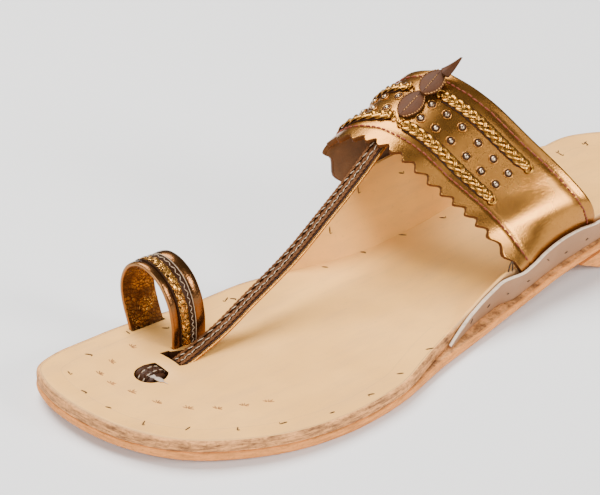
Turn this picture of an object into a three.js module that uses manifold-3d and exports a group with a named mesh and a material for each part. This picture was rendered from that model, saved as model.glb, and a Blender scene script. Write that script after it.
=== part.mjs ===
// Left flat sandal of folk make: leather outsole and insole, heel lift, side flaps,
// an instep band with a strap to the toes, and a ring for the big toe.
// Millimetres. Toes point to +X, the little toe side is +Y, and the floor is Z = 0.
// The origin is the middle of the heel lift's flat underside.
import * as THREE from 'three';
import Module from 'manifold-3d';

const wasm = await Module();
wasm.setup();

// Sole
const LENGTH = 252;
const BALL_WIDTH = 85;
const OUTSOLE_THICKNESS = 3.6;
const INSOLE_THICKNESS = 3;
const HEEL_HEIGHT = 10.4;
const HEEL_LIFT_LENGTH = 71;
const HEEL_BREAST_SLOPE = 15;
const TOE_SPRING = 2.6;
const DISH_DEPTH = 2;
const CLEARANCE = 0.3;

// Raised sides: the insole's wings inside, the ears outside, the band's ends between
const LATERAL_WING_HEIGHT = 6.5;
const MEDIAL_WING_HEIGHT = 27.4;
const WING_THICKNESS = 1.4;
const WING_LEAN = 0.22;
const LATERAL_EAR_HEIGHT = 11.2;
const MEDIAL_EAR_HEIGHT = 19;
const EAR_THICKNESS = 1.4;
const SOLE_LEDGE = 1.6;

// Instep band
const BAND_THICKNESS = 1.8;
const BAND_RISE = 61;
const TOOTH_PITCH = 6;
const TOOTH_DEPTH = 2.4;
const BRAID_WIDTH = 4.6;
const BRAID_HEIGHT = 1.7;
const BRAID_STITCH = 3.2;
const STUD_DIAMETER = 3.6;
const STUD_HEIGHT = 1.4;
const LEAF_WIDTH = 8;
const LEAF_THICKNESS = 1.2;
const LEAF_TIP_HEIGHT = 4.5;
const LEAF_TIP_WIDTH = 4.6;

// Strap to the toes
const STRAP_WIDTH = 6;
const STRAP_THICKNESS = 2.4;
const STRAP_RISE = 46;
const STRAP_STITCH = 3.6;

// Toe ring
const RING_WIDTH = 12.8;
const RING_THICKNESS = 1.4;
const RING_SPAN = 22.5;
const RING_RISE = 26.5;
const RING_SKEW = 4.1;
const RING_PLAIT_HEIGHT = 0.7;

// Toe slit and hole in the insole, with the thong peg that holds the strap's end
const SLIT_LENGTH = 12.4;
const SLIT_WIDTH = 3.4;
const HOLE_DIAMETER = 10.8;
const HOLE_OFFSET = 1.7;
const BRIDGE_WIDTH = 5;
const NOTCH_LENGTH = 9;
const PEG_DIAMETER = 1.9;
const PEG_LENGTH = 8.5;
const PEG_TURN = 0.2;
const PEG_FORWARD = 0.6;
const LOOP_THICKNESS = 1.6;
const LOOP_OFFSET = 1.2;
const LOOP_WIDTH = 4.6;
const STITCH_DEPTH = 0.4;

// Faceting of the curved pieces
const SOLE_ROWS = 46;
const SOLE_COLUMNS = 6;
const HEEL_LIFT_ROWS = 14;
const EAR_ROWS = 26;
const RING_ROWS = 30;
const LOOP_ROWS = 12;
const LEAF_ROWS = 12;
const STUD_SIDES = 8;
const PEG_SIDES = 10;
const LENGTH_STOPS = 60;

// Points closer than a share of a millimetre are one: 1 / MERGE_STEPS mm.
const MERGE_STEPS = 2000;
const CUTTER_MERGE_STEPS = 1000;

// The step, as a share of a path, over which its direction is measured.
const NEAR = 0.01;

const HEEL_CENTRE = 0.12 * LENGTH;

// The sole's plan: distances from the long axis, as shares of BALL_WIDTH, at shares of LENGTH.
// Seat is how far the insole steps in to seat band and ear, as a share of that stack.
const PLAN = [
  { at: 0.000, lateral: 0.014, medial: -0.014, lateralSeat: 0.0, medialSeat: 0.0 },
  { at: 0.030, lateral: 0.215, medial: 0.179, lateralSeat: 0.0, medialSeat: 0.0 },
  { at: 0.090, lateral: 0.321, medial: 0.287, lateralSeat: 0.0, medialSeat: 0.0 },
  { at: 0.200, lateral: 0.354, medial: 0.325, lateralSeat: 0.8, medialSeat: 0.8 },
  { at: 0.340, lateral: 0.353, medial: 0.337, lateralSeat: 1.0, medialSeat: 1.0 },
  { at: 0.460, lateral: 0.400, medial: 0.365, lateralSeat: 1.0, medialSeat: 1.0 },
  { at: 0.560, lateral: 0.461, medial: 0.402, lateralSeat: 0.45, medialSeat: 0.6 },
  { at: 0.660, lateral: 0.545, medial: 0.434, lateralSeat: 0.0, medialSeat: 0.0 },
  { at: 0.740, lateral: 0.564, medial: 0.439, lateralSeat: 0.0, medialSeat: 0.0 },
  { at: 0.820, lateral: 0.533, medial: 0.467, lateralSeat: 0.0, medialSeat: 0.0 },
  { at: 0.890, lateral: 0.446, medial: 0.461, lateralSeat: 0.0, medialSeat: 0.0 },
  { at: 0.945, lateral: 0.319, medial: 0.444, lateralSeat: 0.0, medialSeat: 0.0 },
  { at: 0.985, lateral: 0.108, medial: 0.375, lateralSeat: 0.0, medialSeat: 0.0 },
  { at: 1.000, lateral: -0.167, medial: 0.167, lateralSeat: 0.0, medialSeat: 0.0 },
];

// The sole's underside over the floor: shares of HEEL_HEIGHT and of TOE_SPRING.
// Dish is the rise of the insole's margin, as a share of DISH_DEPTH.
const SIDE_VIEW = [
  { at: 0.00, heel: 1.00, toe: 0.0, dish: 1.0 },
  { at: 0.20, heel: 1.00, toe: 0.0, dish: 1.0 },
  { at: 0.30, heel: 0.60, toe: 0.0, dish: 0.6 },
  { at: 0.40, heel: 0.20, toe: 0.0, dish: 0.3 },
  { at: 0.52, heel: 0.00, toe: 0.0, dish: 0.1 },
  { at: 0.72, heel: 0.00, toe: 0.0, dish: 0.0 },
  { at: 0.80, heel: 0.00, toe: 0.2, dish: 0.0 },
  { at: 0.90, heel: 0.00, toe: 0.6, dish: 0.1 },
  { at: 1.00, heel: 0.00, toe: 1.0, dish: 0.4 },
];

// Heights along the raised sides, as shares of the four heights named above.
const LATERAL_WING = [
  { at: 0.14, rise: 0.0 }, { at: 0.20, rise: 0.10 }, { at: 0.25, rise: 0.35 }, { at: 0.30, rise: 0.75 },
  { at: 0.34, rise: 0.75 }, { at: 0.385, rise: 0.80 }, { at: 0.413, rise: 1.0 }, { at: 0.448, rise: 0.80 },
  { at: 0.48, rise: 0.45 }, { at: 0.54, rise: 0.0 },
];
const MEDIAL_WING = [
  { at: 0.14, rise: 0.0 }, { at: 0.17, rise: 0.05 }, { at: 0.21, rise: 0.20 }, { at: 0.25, rise: 0.42 },
  { at: 0.29, rise: 0.66 }, { at: 0.33, rise: 0.84 }, { at: 0.37, rise: 0.95 }, { at: 0.402, rise: 0.99 },
  { at: 0.434, rise: 0.98 }, { at: 0.458, rise: 0.93 }, { at: 0.488, rise: 0.82 }, { at: 0.525, rise: 0.60 },
  { at: 0.56, rise: 0.33 }, { at: 0.585, rise: 0.12 }, { at: 0.62, rise: 0.0 },
];
const LATERAL_EAR = [
  { at: 0.15, rise: 0.14 }, { at: 0.18, rise: 0.35 }, { at: 0.22, rise: 0.55 }, { at: 0.26, rise: 0.77 },
  { at: 0.29, rise: 0.95 }, { at: 0.32, rise: 1.0 }, { at: 0.35, rise: 0.96 }, { at: 0.369, rise: 0.85 },
  { at: 0.389, rise: 0.81 }, { at: 0.413, rise: 0.92 }, { at: 0.448, rise: 0.78 }, { at: 0.48, rise: 0.60 },
  { at: 0.512, rise: 0.32 }, { at: 0.54, rise: 0.08 },
];
const MEDIAL_EAR = [
  { at: 0.15, rise: 0.08 }, { at: 0.20, rise: 0.26 }, { at: 0.25, rise: 0.50 }, { at: 0.29, rise: 0.74 },
  { at: 0.33, rise: 0.90 }, { at: 0.37, rise: 0.97 }, { at: 0.41, rise: 1.0 }, { at: 0.45, rise: 0.90 },
  { at: 0.49, rise: 0.70 }, { at: 0.53, rise: 0.38 }, { at: 0.57, rise: 0.06 },
];

// The instep band from its lateral end to its medial end. Where a row names a side, the
// edge lies in that side's seat, at a height over the seat's foot in shares of the ear or wing.
// The free rows give the edges' places: shares of LENGTH and BALL_WIDTH, and height over the
// insole's seat level as a share of BAND_RISE.
const BAND = [
  { at: 0.00, side: 'lateral', frontX: 0.381, frontZ: 0.35, backX: 0.254, backZ: 0.35 },
  { at: 0.04, side: 'lateral', frontX: 0.388, frontZ: 0.72, backX: 0.254, backZ: 0.70 },
  { at: 0.07, side: 'lateral', frontX: 0.394, frontZ: 1.00, backX: 0.254, backZ: 0.96 },
  { at: 0.17, frontX: 0.417, frontY: 0.259, frontZ: 0.349, backX: 0.267, backY: 0.335, backZ: 0.376 },
  { at: 0.27, frontX: 0.431, frontY: 0.165, frontZ: 0.464, backX: 0.286, backY: 0.259, backZ: 0.530 },
  { at: 0.38, frontX: 0.450, frontY: 0.059, frontZ: 0.579, backX: 0.310, backY: 0.129, backZ: 0.704 },
  { at: 0.49, frontX: 0.468, frontY: -0.059, frontZ: 0.710, backX: 0.333, backY: -0.024, backZ: 0.882 },
  { at: 0.58, frontX: 0.480, frontY: -0.165, frontZ: 0.764, backX: 0.351, backY: -0.141, backZ: 0.972 },
  { at: 0.66, frontX: 0.489, frontY: -0.259, frontZ: 0.767, backX: 0.363, backY: -0.235, backZ: 0.997 },
  { at: 0.74, frontX: 0.500, frontY: -0.365, frontZ: 0.718, backX: 0.377, backY: -0.365, backZ: 0.931 },
  { at: 0.82, frontX: 0.499, frontY: -0.436, frontZ: 0.592, backX: 0.383, backY: -0.436, backZ: 0.767 },
  { at: 0.90, side: 'medial', frontX: 0.478, frontZ: 1.55, backX: 0.370, backZ: 1.75 },
  { at: 0.95, side: 'medial', frontX: 0.472, frontZ: 1.02, backX: 0.364, backZ: 1.10 },
  { at: 1.00, side: 'medial', frontX: 0.467, frontZ: 0.50, backX: 0.357, backZ: 0.45 },
];

// The strap's upper face from the toe slit to the band: shares of LENGTH, BALL_WIDTH and STRAP_RISE.
const STRAP = [
  { at: 0.00, x: 0.838, y: -0.111, z: 0.000 },
  { at: 0.06, x: 0.822, y: -0.113, z: 0.024 },
  { at: 0.17, x: 0.770, y: -0.127, z: 0.100 },
  { at: 0.30, x: 0.718, y: -0.141, z: 0.217 },
  { at: 0.50, x: 0.639, y: -0.162, z: 0.402 },
  { at: 0.66, x: 0.585, y: -0.178, z: 0.570 },
  { at: 0.81, x: 0.538, y: -0.191, z: 0.726 },
  { at: 0.91, x: 0.506, y: -0.199, z: 0.843 },
  { at: 1.00, x: 0.470, y: -0.206, z: 0.995 },
];

// The toe ring's loop from its inner leg to its outer leg: shares of RING_SPAN and RING_RISE.
// Both legs stand in slots that go through the insole.
const RING_FOOT = -INSOLE_THICKNESS / RING_RISE;
const RING = [
  { at: 0.00, across: 0.03, up: RING_FOOT },
  { at: 0.10, across: 0.01, up: 0.10 },
  { at: 0.22, across: 0.01, up: 0.34 },
  { at: 0.34, across: 0.08, up: 0.62 },
  { at: 0.44, across: 0.23, up: 0.84 },
  { at: 0.53, across: 0.45, up: 0.97 },
  { at: 0.62, across: 0.68, up: 0.985 },
  { at: 0.70, across: 0.87, up: 0.88 },
  { at: 0.78, across: 0.985, up: 0.67 },
  { at: 0.87, across: 0.985, up: 0.38 },
  { at: 0.94, across: 0.91, up: 0.12 },
  { at: 1.00, across: 0.83, up: RING_FOOT },
];

// Places of the toe fittings: shares of LENGTH and of BALL_WIDTH.
const SLIT_AT = { x: 0.833, y: -0.125 };
const RING_AT = { x: 0.794, y: -0.188 };
const TRIM_SPANS = [
  { name: 'braid_lateral_front', from: { t: 0.278, across: 0.235 }, to: { t: 0.588, across: 0.265 } },
  { name: 'braid_lateral_back', from: { t: 0.320, across: 0.742 }, to: { t: 0.580, across: 0.744 } },
  { name: 'braid_medial_front', from: { t: 0.635, across: 0.300 }, to: { t: 0.860, across: 0.220 } },
  { name: 'braid_medial_back', from: { t: 0.680, across: 0.715 }, to: { t: 0.860, across: 0.745 } },
];
const STUD_ROWS = [
  { name: 'stud_back', from: { t: 0.329, across: 0.568 }, to: { t: 0.577, across: 0.605 }, count: 6 },
  { name: 'stud_front', from: { t: 0.315, across: 0.393 }, to: { t: 0.565, across: 0.416 }, count: 6 },
  { name: 'stud_medial_back', from: { t: 0.684, across: 0.59 }, to: { t: 0.76, across: 0.6 }, count: 3 },
  { name: 'stud_medial_front', from: { t: 0.68, across: 0.41 }, to: { t: 0.756, across: 0.415 }, count: 3 },
];

// Leaves on the crest of the band: two that lie on it, one over the other, and an upright tip.
const LEAF_LAYER = LEAF_THICKNESS + CLEARANCE;
const LEAVES = [
  { name: 'leaf_front', from: { t: 0.611, across: 0.320 }, to: { t: 0.629, across: 0.670 },
    width: LEAF_WIDTH, lift: () => CLEARANCE },
  { name: 'leaf_back', from: { t: 0.616, across: 0.625 }, to: { t: 0.634, across: 0.950 },
    width: LEAF_WIDTH, lift: () => CLEARANCE + LEAF_LAYER },
  { name: 'leaf_tip', from: { t: 0.618, across: 0.890 }, to: { t: 0.607, across: 1.100 },
    width: LEAF_TIP_WIDTH, lift: (r) => CLEARANCE + 2 * LEAF_LAYER + LEAF_TIP_HEIGHT * r * r },
];

// Relief of the trims, as shares across each one and of its height.
const BRAID_COLUMNS = [-1, -0.5, 0, 0.5, 1];
const BRAID_RELIEF = { rim: 0.4, middle: [0.6, 0.75], strand: [0.7, 1] };
const LEAF_COLUMNS = [-1, -0.5, 0, 0.5, 1];
const LEAF_SCALLOP = 0.9;
const LEAF_ROUNDNESS = 0.6;
const LEAF_THINNING = 0.25;
const STUD_RIM = { height: 0.55, top: 0.9, crownRadius: 0.5, crown: 0.9 };
const BAND_COLUMNS = [0.12, 0.4, 0.7, 1];
const STRAP_COLUMNS = [-1, -0.9, -0.45, 0, 0.45, 0.9, 1];
const STRAP_RELIEF = { groove: -0.5, strand: [-0.35, 0] };
const STRAP_SIDEWAYS = new THREE.Vector3(0.09, 1, 0).normalize();
const RING_COLUMNS = [-1, -0.72, -0.66, -0.36, 0, 0.36, 0.66, 0.72, 1];
const RING_PLAIT_REACH = 0.5;
const RING_GROOVE_REACH = 0.7;
const RING_GROOVE_DEPTH = 0.2;
const RING_SLOT_LEVELS = [0.1, 0.94];
const LOOP_COLUMNS = [-1, -0.5, 0, 0.5, 1];
const PEG_TAPER = 0.85;

const LEATHER = { color: 0xddbf98, roughness: 0.7, metalness: 0 };
const SOLE_LEATHER = { color: 0xc9a06e, roughness: 0.75, metalness: 0 };
const EAR_LEATHER = { color: 0xb39a88, roughness: 0.6, metalness: 0 };
const BRONZE = { color: 0x9a6a30, roughness: 0.35, metalness: 0.7 };
const GOLD = { color: 0xc79a4a, roughness: 0.4, metalness: 0.8 };
const LEAF_BROWN = { color: 0x6f4a2c, roughness: 0.5, metalness: 0.3 };
const SILVER = { color: 0xc8c4bc, roughness: 0.25, metalness: 0.9 };
const THONG = { color: 0xd8d0c4, roughness: 0.7, metalness: 0 };

const clamp = (value, low, high) => Math.min(high, Math.max(low, value));
const smooth = (value) => {
  const t = clamp(value, 0, 1);
  return t * t * (3 - 2 * t);
};

// A smooth curve through a table's column. Monotone curves never pass beyond their rows.
function column(table, name, monotone = true, place = (row) => row.at) {
  const xs = table.map(place);
  const ys = table.map((row) => (typeof name === 'function' ? name(row) : row[name]));
  const last = xs.length - 1;
  const steps = xs.slice(1).map((x, i) => (ys[i + 1] - ys[i]) / (x - xs[i]));
  const slopes = xs.map((x, i) => {
    if (i === 0) return steps[0];
    if (i === last) return steps[last - 1];
    const before = xs[i] - xs[i - 1];
    const after = xs[i + 1] - xs[i];
    if (monotone) {
      if (steps[i - 1] * steps[i] <= 0) return 0;
      const w1 = 2 * after + before;
      const w2 = after + 2 * before;
      return (w1 + w2) / (w1 / steps[i - 1] + w2 / steps[i]);
    }
    return (steps[i - 1] * after + steps[i] * before) / (before + after);
  });
  return (x) => {
    const held = clamp(x, xs[0], xs[last]);
    let i = 0;
    while (i < last - 1 && held > xs[i + 1]) i += 1;
    const h = xs[i + 1] - xs[i];
    const t = (held - xs[i]) / h;
    const rise = steps[i] * h;
    const c = slopes[i] * h;
    const d = slopes[i + 1] * h;
    return ys[i] + t * (c + t * (3 * rise - 2 * c - d + t * (c + d - 2 * rise)));
  };
}

// Round stations: evenly turned round both ends of the sole, so that heel and toe stay round.
const turn = (share) => Math.acos(1 - 2 * clamp(share, 0, 1)) / Math.PI;
const shareOfTurn = (t) => (1 - Math.cos(Math.PI * t)) / 2;
const planPlace = (row) => turn(row.at);

const SIDES = {
  lateral: {
    sign: 1,
    plan: column(PLAN, 'lateral', false, planPlace),
    seat: column(PLAN, 'lateralSeat'),
    wing: column(LATERAL_WING, 'rise'),
    wingHeight: LATERAL_WING_HEIGHT,
    ear: column(LATERAL_EAR, 'rise'),
    earTable: LATERAL_EAR,
    earHeight: LATERAL_EAR_HEIGHT,
    coverFrom: BAND[0].backX,
    coverTo: BAND[1].frontX,
  },
  medial: {
    sign: -1,
    plan: column(PLAN, 'medial', false, planPlace),
    seat: column(PLAN, 'medialSeat'),
    wing: column(MEDIAL_WING, 'rise'),
    wingHeight: MEDIAL_WING_HEIGHT,
    ear: column(MEDIAL_EAR, 'rise'),
    earTable: MEDIAL_EAR,
    earHeight: MEDIAL_EAR_HEIGHT,
    coverFrom: BAND[BAND.length - 1].backX,
    coverTo: BAND[BAND.length - 2].frontX,
  },
};

const heelShare = column(SIDE_VIEW, 'heel');
const toeShare = column(SIDE_VIEW, 'toe');
const dishShare = column(SIDE_VIEW, 'dish');

const underside = (s) => HEEL_HEIGHT * heelShare(s) + TOE_SPRING * toeShare(s);
const outsoleTop = (s) => underside(s) + OUTSOLE_THICKNESS;
const insoleFoot = (s) => outsoleTop(s) + CLEARANCE;
const insoleTop = (s) => insoleFoot(s) + INSOLE_THICKNESS;
const forward = (s) => s * LENGTH - HEEL_CENTRE;
const shareAt = (x) => (x + HEEL_CENTRE) / LENGTH;
const planY = (side, s) => side.plan(turn(s)) * BALL_WIDTH;

// Stack of what stands on the outsole's margin beside the insole: band, ear and their gaps.
const SPREAD = Math.hypot(1, WING_LEAN);
const STACK = (3 * CLEARANCE + BAND_THICKNESS + EAR_THICKNESS) * SPREAD + SOLE_LEDGE;
const INSOLE_INSET = 0.4;

// The insole steps in a little all round: sideways along its sides, and lengthways at its ends.
const END_ROUNDING = 0.03;
const sideInset = (s) => INSOLE_INSET * smooth(Math.min(s, 1 - s) / END_ROUNDING);
const endInset = (s) => INSOLE_INSET * (smooth((1 - s) / END_ROUNDING) - smooth(s / END_ROUNDING));

// A wing lower than LEAST_RISE is left out, so that it doesn't end in a sliver.
const LEAST_RISE = 0.25;
function wingRise(side, s) {
  const rise = side.wing(s) * side.wingHeight;
  return rise < LEAST_RISE ? 0 : rise;
}
const wingPresence = (side, s) => clamp(wingRise(side, s) / (2 * WING_THICKNESS), 0, 1);

// The outer face of the insole's edge and wing, as a distance from the long axis.
function wingFace(side, s, z) {
  const foot = planY(side, s) - sideInset(s) - STACK * side.seat(s);
  return foot + WING_LEAN * wingPresence(side, s) * (z - insoleFoot(s));
}

// The band's outer face where it lies in a side's seat.
const seatedBandFace = (side, s, z) => wingFace(side, s, z) + (CLEARANCE + BAND_THICKNESS) * SPREAD;

// How far a side's ear stands off the insole's wing: further where it covers the band's end.
const COVER_RAMP = 0.03;
const COVER_MARGIN = 0.016;
function earGap(side, s) {
  const rear = smooth((s - side.coverFrom + COVER_MARGIN + COVER_RAMP) / COVER_RAMP);
  const front = smooth((side.coverTo + COVER_MARGIN + COVER_RAMP - s) / COVER_RAMP);
  return (CLEARANCE + rear * front * (BAND_THICKNESS + CLEARANCE)) * SPREAD;
}

function material(finish) {
  return new THREE.MeshStandardMaterial(finish);
}

// A closed solid from rows of points: each row is a closed loop, and flat caps end the rows.
function loftSolid(rows, capEnds = true) {
  const positions = [];
  const seen = new Map();
  const indexOf = (p) => {
    const key = p.map((value) => Math.round(value * MERGE_STEPS)).join(',');
    if (!seen.has(key)) {
      seen.set(key, positions.length / 3);
      positions.push(...p);
    }
    return seen.get(key);
  };
  const grid = rows.map((row) => row.map(indexOf));
  const triangles = [];
  const face = (a, b, c) => {
    if (a !== b && b !== c && c !== a) triangles.push(a, b, c);
  };
  const around = grid[0].length;
  for (let i = 0; i + 1 < grid.length; i += 1) {
    for (let j = 0; j < around; j += 1) {
      const k = (j + 1) % around;
      face(grid[i][j], grid[i + 1][j], grid[i + 1][k]);
      face(grid[i][j], grid[i + 1][k], grid[i][k]);
    }
  }
  if (capEnds) {
    // A loop holds one face's points and then the other's backwards, so caps are strips.
    const half = around / 2;
    for (let j = 0; j + 1 < half; j += 1) {
      const first = grid[0];
      const final = grid[grid.length - 1];
      const m = around - 1 - j;
      face(first[j], first[j + 1], first[m - 1]);
      face(first[j], first[m - 1], first[m]);
      face(final[j], final[m - 1], final[j + 1]);
      face(final[j], final[m], final[m - 1]);
    }
  }
  const geometry = new THREE.BufferGeometry();
  geometry.setAttribute('position', new THREE.BufferAttribute(new Float32Array(positions), 3));
  geometry.setIndex(volumeOf(positions, triangles) < 0 ? turned(triangles) : triangles);
  return geometry;
}

function volumeOf(positions, triangles) {
  const corner = (index) => new THREE.Vector3().fromArray(positions, index * 3);
  let total = 0;
  for (let i = 0; i < triangles.length; i += 3) {
    const [a, b, c] = [corner(triangles[i]), corner(triangles[i + 1]), corner(triangles[i + 2])];
    total += a.dot(b.cross(c));
  }
  return total;
}

function turned(triangles) {
  const result = [];
  for (let i = 0; i < triangles.length; i += 3) result.push(triangles[i], triangles[i + 2], triangles[i + 1]);
  return result;
}

function toSolid(geometry) {
  return new wasm.Manifold(new wasm.Mesh({
    numProp: 3,
    vertProperties: new Float32Array(geometry.getAttribute('position').array),
    triVerts: new Uint32Array(geometry.getIndex().array),
  }));
}

function toGeometry(solid) {
  const mesh = solid.getMesh();
  const geometry = new THREE.BufferGeometry();
  geometry.setAttribute('position', new THREE.BufferAttribute(new Float32Array(mesh.vertProperties), 3));
  geometry.setIndex(Array.from(mesh.triVerts));
  return geometry;
}

const sandal = new THREE.Group();
function addPiece(name, geometry, finish) {
  const mesh = new THREE.Mesh(geometry, material(finish));
  mesh.name = name;
  sandal.add(mesh);
}

const range = (count) => Array.from({ length: count + 1 }, (_, i) => i / count);
const lerp = THREE.MathUtils.lerp;
const ACROSS = range(SOLE_COLUMNS);
const soleStations = range(SOLE_ROWS).map(shareOfTurn);
const acrossY = (s, w) => lerp(-planY(SIDES.medial, s), planY(SIDES.lateral, s), w);

function outsoleGeometry() {
  return loftSolid(soleStations.map((s) => {
    const top = ACROSS.map((w) => [forward(s), acrossY(s, w), outsoleTop(s)]);
    const bottom = ACROSS.map((w) => [forward(s), acrossY(s, w), underside(s)]);
    return [...top, ...bottom.reverse()];
  }), false);
}

// The heel lift fills the space under the raised heel and thins out to a sloping breast.
function heelLiftGeometry() {
  const reach = HEEL_LIFT_LENGTH / LENGTH;
  const steps = range(HEEL_LIFT_ROWS).map((t) => reach * (1 - Math.cos(Math.PI * t / 2)));
  const level = (s, drawn, z) => ACROSS.map((w) => {
    return [forward(drawn) + endInset(s), acrossY(drawn, w) + sideInset(s) * (1 - 2 * w), z];
  });
  return loftSolid(steps.map((s) => {
    const drawn = s * (1 - HEEL_BREAST_SLOPE / HEEL_LIFT_LENGTH);
    const top = level(s, s, underside(s) - CLEARANCE);
    const bottom = level(s, drawn, 0);
    return [...top, ...bottom.reverse()];
  }));
}

const WING_STEPS = range(4);
function insoleRow(s) {
  const x = forward(s) + endInset(s);
  const sideColumns = (side) => {
    const thickness = WING_THICKNESS * wingPresence(side, s);
    const margin = insoleTop(s) + DISH_DEPTH * dishShare(s);
    const crest = margin + wingRise(side, s);
    const outer = WING_STEPS.map((t) => {
      const z = lerp(crest, insoleFoot(s), t);
      return [x, side.sign * wingFace(side, s, z), z];
    });
    const inner = WING_STEPS.map((t) => {
      const z = lerp(crest, margin, t);
      return [x, side.sign * (wingFace(side, s, z) - thickness), z];
    });
    return { outer, inner };
  };
  const medial = sideColumns(SIDES.medial);
  const lateral = sideColumns(SIDES.lateral);
  const plate = ACROSS.slice(1, -1);
  const end = WING_STEPS.length - 1;
  const floorLevel = insoleTop(s);
  // The dish runs out towards heel and toe, where the whole row lies at the margin's height.
  const dished = smooth(Math.min(s, 1 - s) / (2 * END_ROUNDING));
  const top = plate.map((w) => {
    const bowl = 1 - dished * (1 - (2 * w - 1) ** 4);
    const from = medial.inner[end];
    const to = lateral.inner[end];
    return [x, lerp(from[1], to[1], w), floorLevel + DISH_DEPTH * dishShare(s) * bowl];
  });
  const bottom = plate.map((w) => {
    const from = medial.outer[end];
    const to = lateral.outer[end];
    return [x, lerp(from[1], to[1], w), insoleFoot(s)];
  });
  return [
    ...medial.inner, ...top, ...lateral.inner.reverse(),
    ...lateral.outer, ...bottom.reverse(), ...medial.outer.reverse(),
  ];
}

// A straight-sided cutter standing on the outsole, with its outline given in plan.
function cutter(outline, fromZ, toZ) {
  const shape = new THREE.Shape(outline.map(([x, y]) => new THREE.Vector2(x, y)));
  const extruded = new THREE.ExtrudeGeometry(shape, { depth: toZ - fromZ, bevelEnabled: false, steps: 1 });
  extruded.translate(0, 0, fromZ);
  const flat = extruded.getAttribute('position');
  const positions = [];
  const seen = new Map();
  const triangles = [];
  for (let i = 0; i < flat.count; i += 1) {
    const p = [flat.getX(i), flat.getY(i), flat.getZ(i)];
    const key = p.map((value) => Math.round(value * CUTTER_MERGE_STEPS)).join(',');
    if (!seen.has(key)) {
      seen.set(key, positions.length / 3);
      positions.push(...p);
    }
    triangles.push(seen.get(key));
  }
  const geometry = new THREE.BufferGeometry();
  geometry.setAttribute('position', new THREE.BufferAttribute(new Float32Array(positions), 3));
  geometry.setIndex(triangles);
  return toSolid(geometry);
}

const slitCentre = [forward(SLIT_AT.x), SLIT_AT.y * BALL_WIDTH];
const HOLE_FLAT = 0.75;
const holeReach = SLIT_WIDTH / 2 + BRIDGE_WIDTH + HOLE_FLAT * HOLE_DIAMETER / 2;
const holeCentre = [slitCentre[0] + holeReach, slitCentre[1] + HOLE_OFFSET];
const box = (x0, x1, y0, y1) => [[x0, y0], [x1, y0], [x1, y1], [x0, y1]];

// The front hole is a D with its straight side towards the slit.
const HOLE_SIDES = 16;
function holeOutline() {
  const radius = HOLE_DIAMETER / 2;
  return range(HOLE_SIDES).slice(1).map((t) => {
    const angle = -Math.PI + 2 * Math.PI * t;
    const x = Math.max(-HOLE_FLAT * radius, radius * Math.cos(angle));
    return [holeCentre[0] + x, holeCentre[1] + radius * Math.sin(angle)];
  });
}

function insoleGeometry() {
  const plate = toSolid(loftSolid(soleStations.map(insoleRow), false));
  const low = insoleFoot(SLIT_AT.x) - INSOLE_THICKNESS;
  const high = insoleTop(SLIT_AT.x) + INSOLE_THICKNESS;
  const [sx, sy] = slitCentre;
  const slitFrom = sy - SLIT_LENGTH / 2;
  const slitTo = sy + SLIT_LENGTH / 2;
  const slit = cutter(box(sx - SLIT_WIDTH / 2, sx + SLIT_WIDTH / 2, slitFrom, slitTo), low, high);
  const hole = cutter(holeOutline(), low, high);
  // A notch behind the slit makes room for the strap, which comes down on a slant.
  const notchTo = STRAP[0].y * BALL_WIDTH + STRAP_WIDTH / 2 + 2 * CLEARANCE;
  const notch = cutter(box(sx - NOTCH_LENGTH, sx, slitFrom, notchTo), low, high);
  const legs = [0, 1].map((end) => ringLegSlot(end, low, high));
  return toGeometry([slit, notch, hole, ...legs].reduce((rest, cut) => rest.subtract(cut), plate));
}

// An ear is a thin wall that stands on the outsole outside the insole's wing.
function earGeometry(side) {
  const first = side.earTable[0].at;
  const last = side.earTable[side.earTable.length - 1].at;
  const levels = range(3);
  return loftSolid(range(EAR_ROWS).map((t) => {
    const s = lerp(first, last, t);
    const foot = insoleFoot(s);
    const crest = foot + side.ear(s) * side.earHeight;
    const face = (offset) => levels.map((level) => {
      const z = lerp(foot, crest, level);
      return [forward(s), side.sign * (wingFace(side, s, z) + offset), z];
    });
    const gap = earGap(side, s);
    return [...face(gap), ...face(gap + EAR_THICKNESS * SPREAD).reverse()];
  }));
}

// A line along the band, at a share of the way from its front edge to its back edge. Seated
// rows follow the side of the insole there, and free rows are straight from edge to edge.
const BAND_SEAT_LEVEL = OUTSOLE_THICKNESS + INSOLE_THICKNESS;
function bandLine(share) {
  const between = (row, name) => lerp(row[`front${name}`], row[`back${name}`], share);
  const point = (row) => {
    const s = between(row, 'X');
    if (!row.side) {
      return [forward(s), between(row, 'Y') * BALL_WIDTH, BAND_SEAT_LEVEL + between(row, 'Z') * BAND_RISE];
    }
    const side = SIDES[row.side];
    const level = (at, height) => insoleFoot(at) + height * side.ear(at) * side.earHeight;
    const z = lerp(level(row.frontX, row.frontZ), level(row.backX, row.backZ), share);
    return [forward(s), side.sign * seatedBandFace(side, s, z), z];
  };
  const axes = [0, 1, 2].map((axis) => column(BAND, (row) => point(row)[axis], false));
  return (t) => new THREE.Vector3(axes[0](t), axes[1](t), axes[2](t));
}
const BAND_SHARES = [0, 0.5, 1];
const bandLines = BAND_SHARES.map(bandLine);

// A point of the band's outer face: t runs from its lateral end, across from its front edge.
function bandAt(t, across) {
  const [front, middle, back] = bandLines.map((line) => line(t));
  return front.multiplyScalar((1 - across) * (1 - 2 * across))
    .addScaledVector(middle, 4 * across * (1 - across))
    .addScaledVector(back, across * (2 * across - 1));
}
function bandNormal(t, across) {
  const along = bandAt(Math.min(1, t + NEAR), across).sub(bandAt(Math.max(0, t - NEAR), across));
  const over = bandAt(t, 1).sub(bandAt(t, 0));
  return along.cross(over).normalize().negate();
}
const bandPoint = (t, across, lift) => bandAt(t, across).addScaledVector(bandNormal(t, across), lift);

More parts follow.
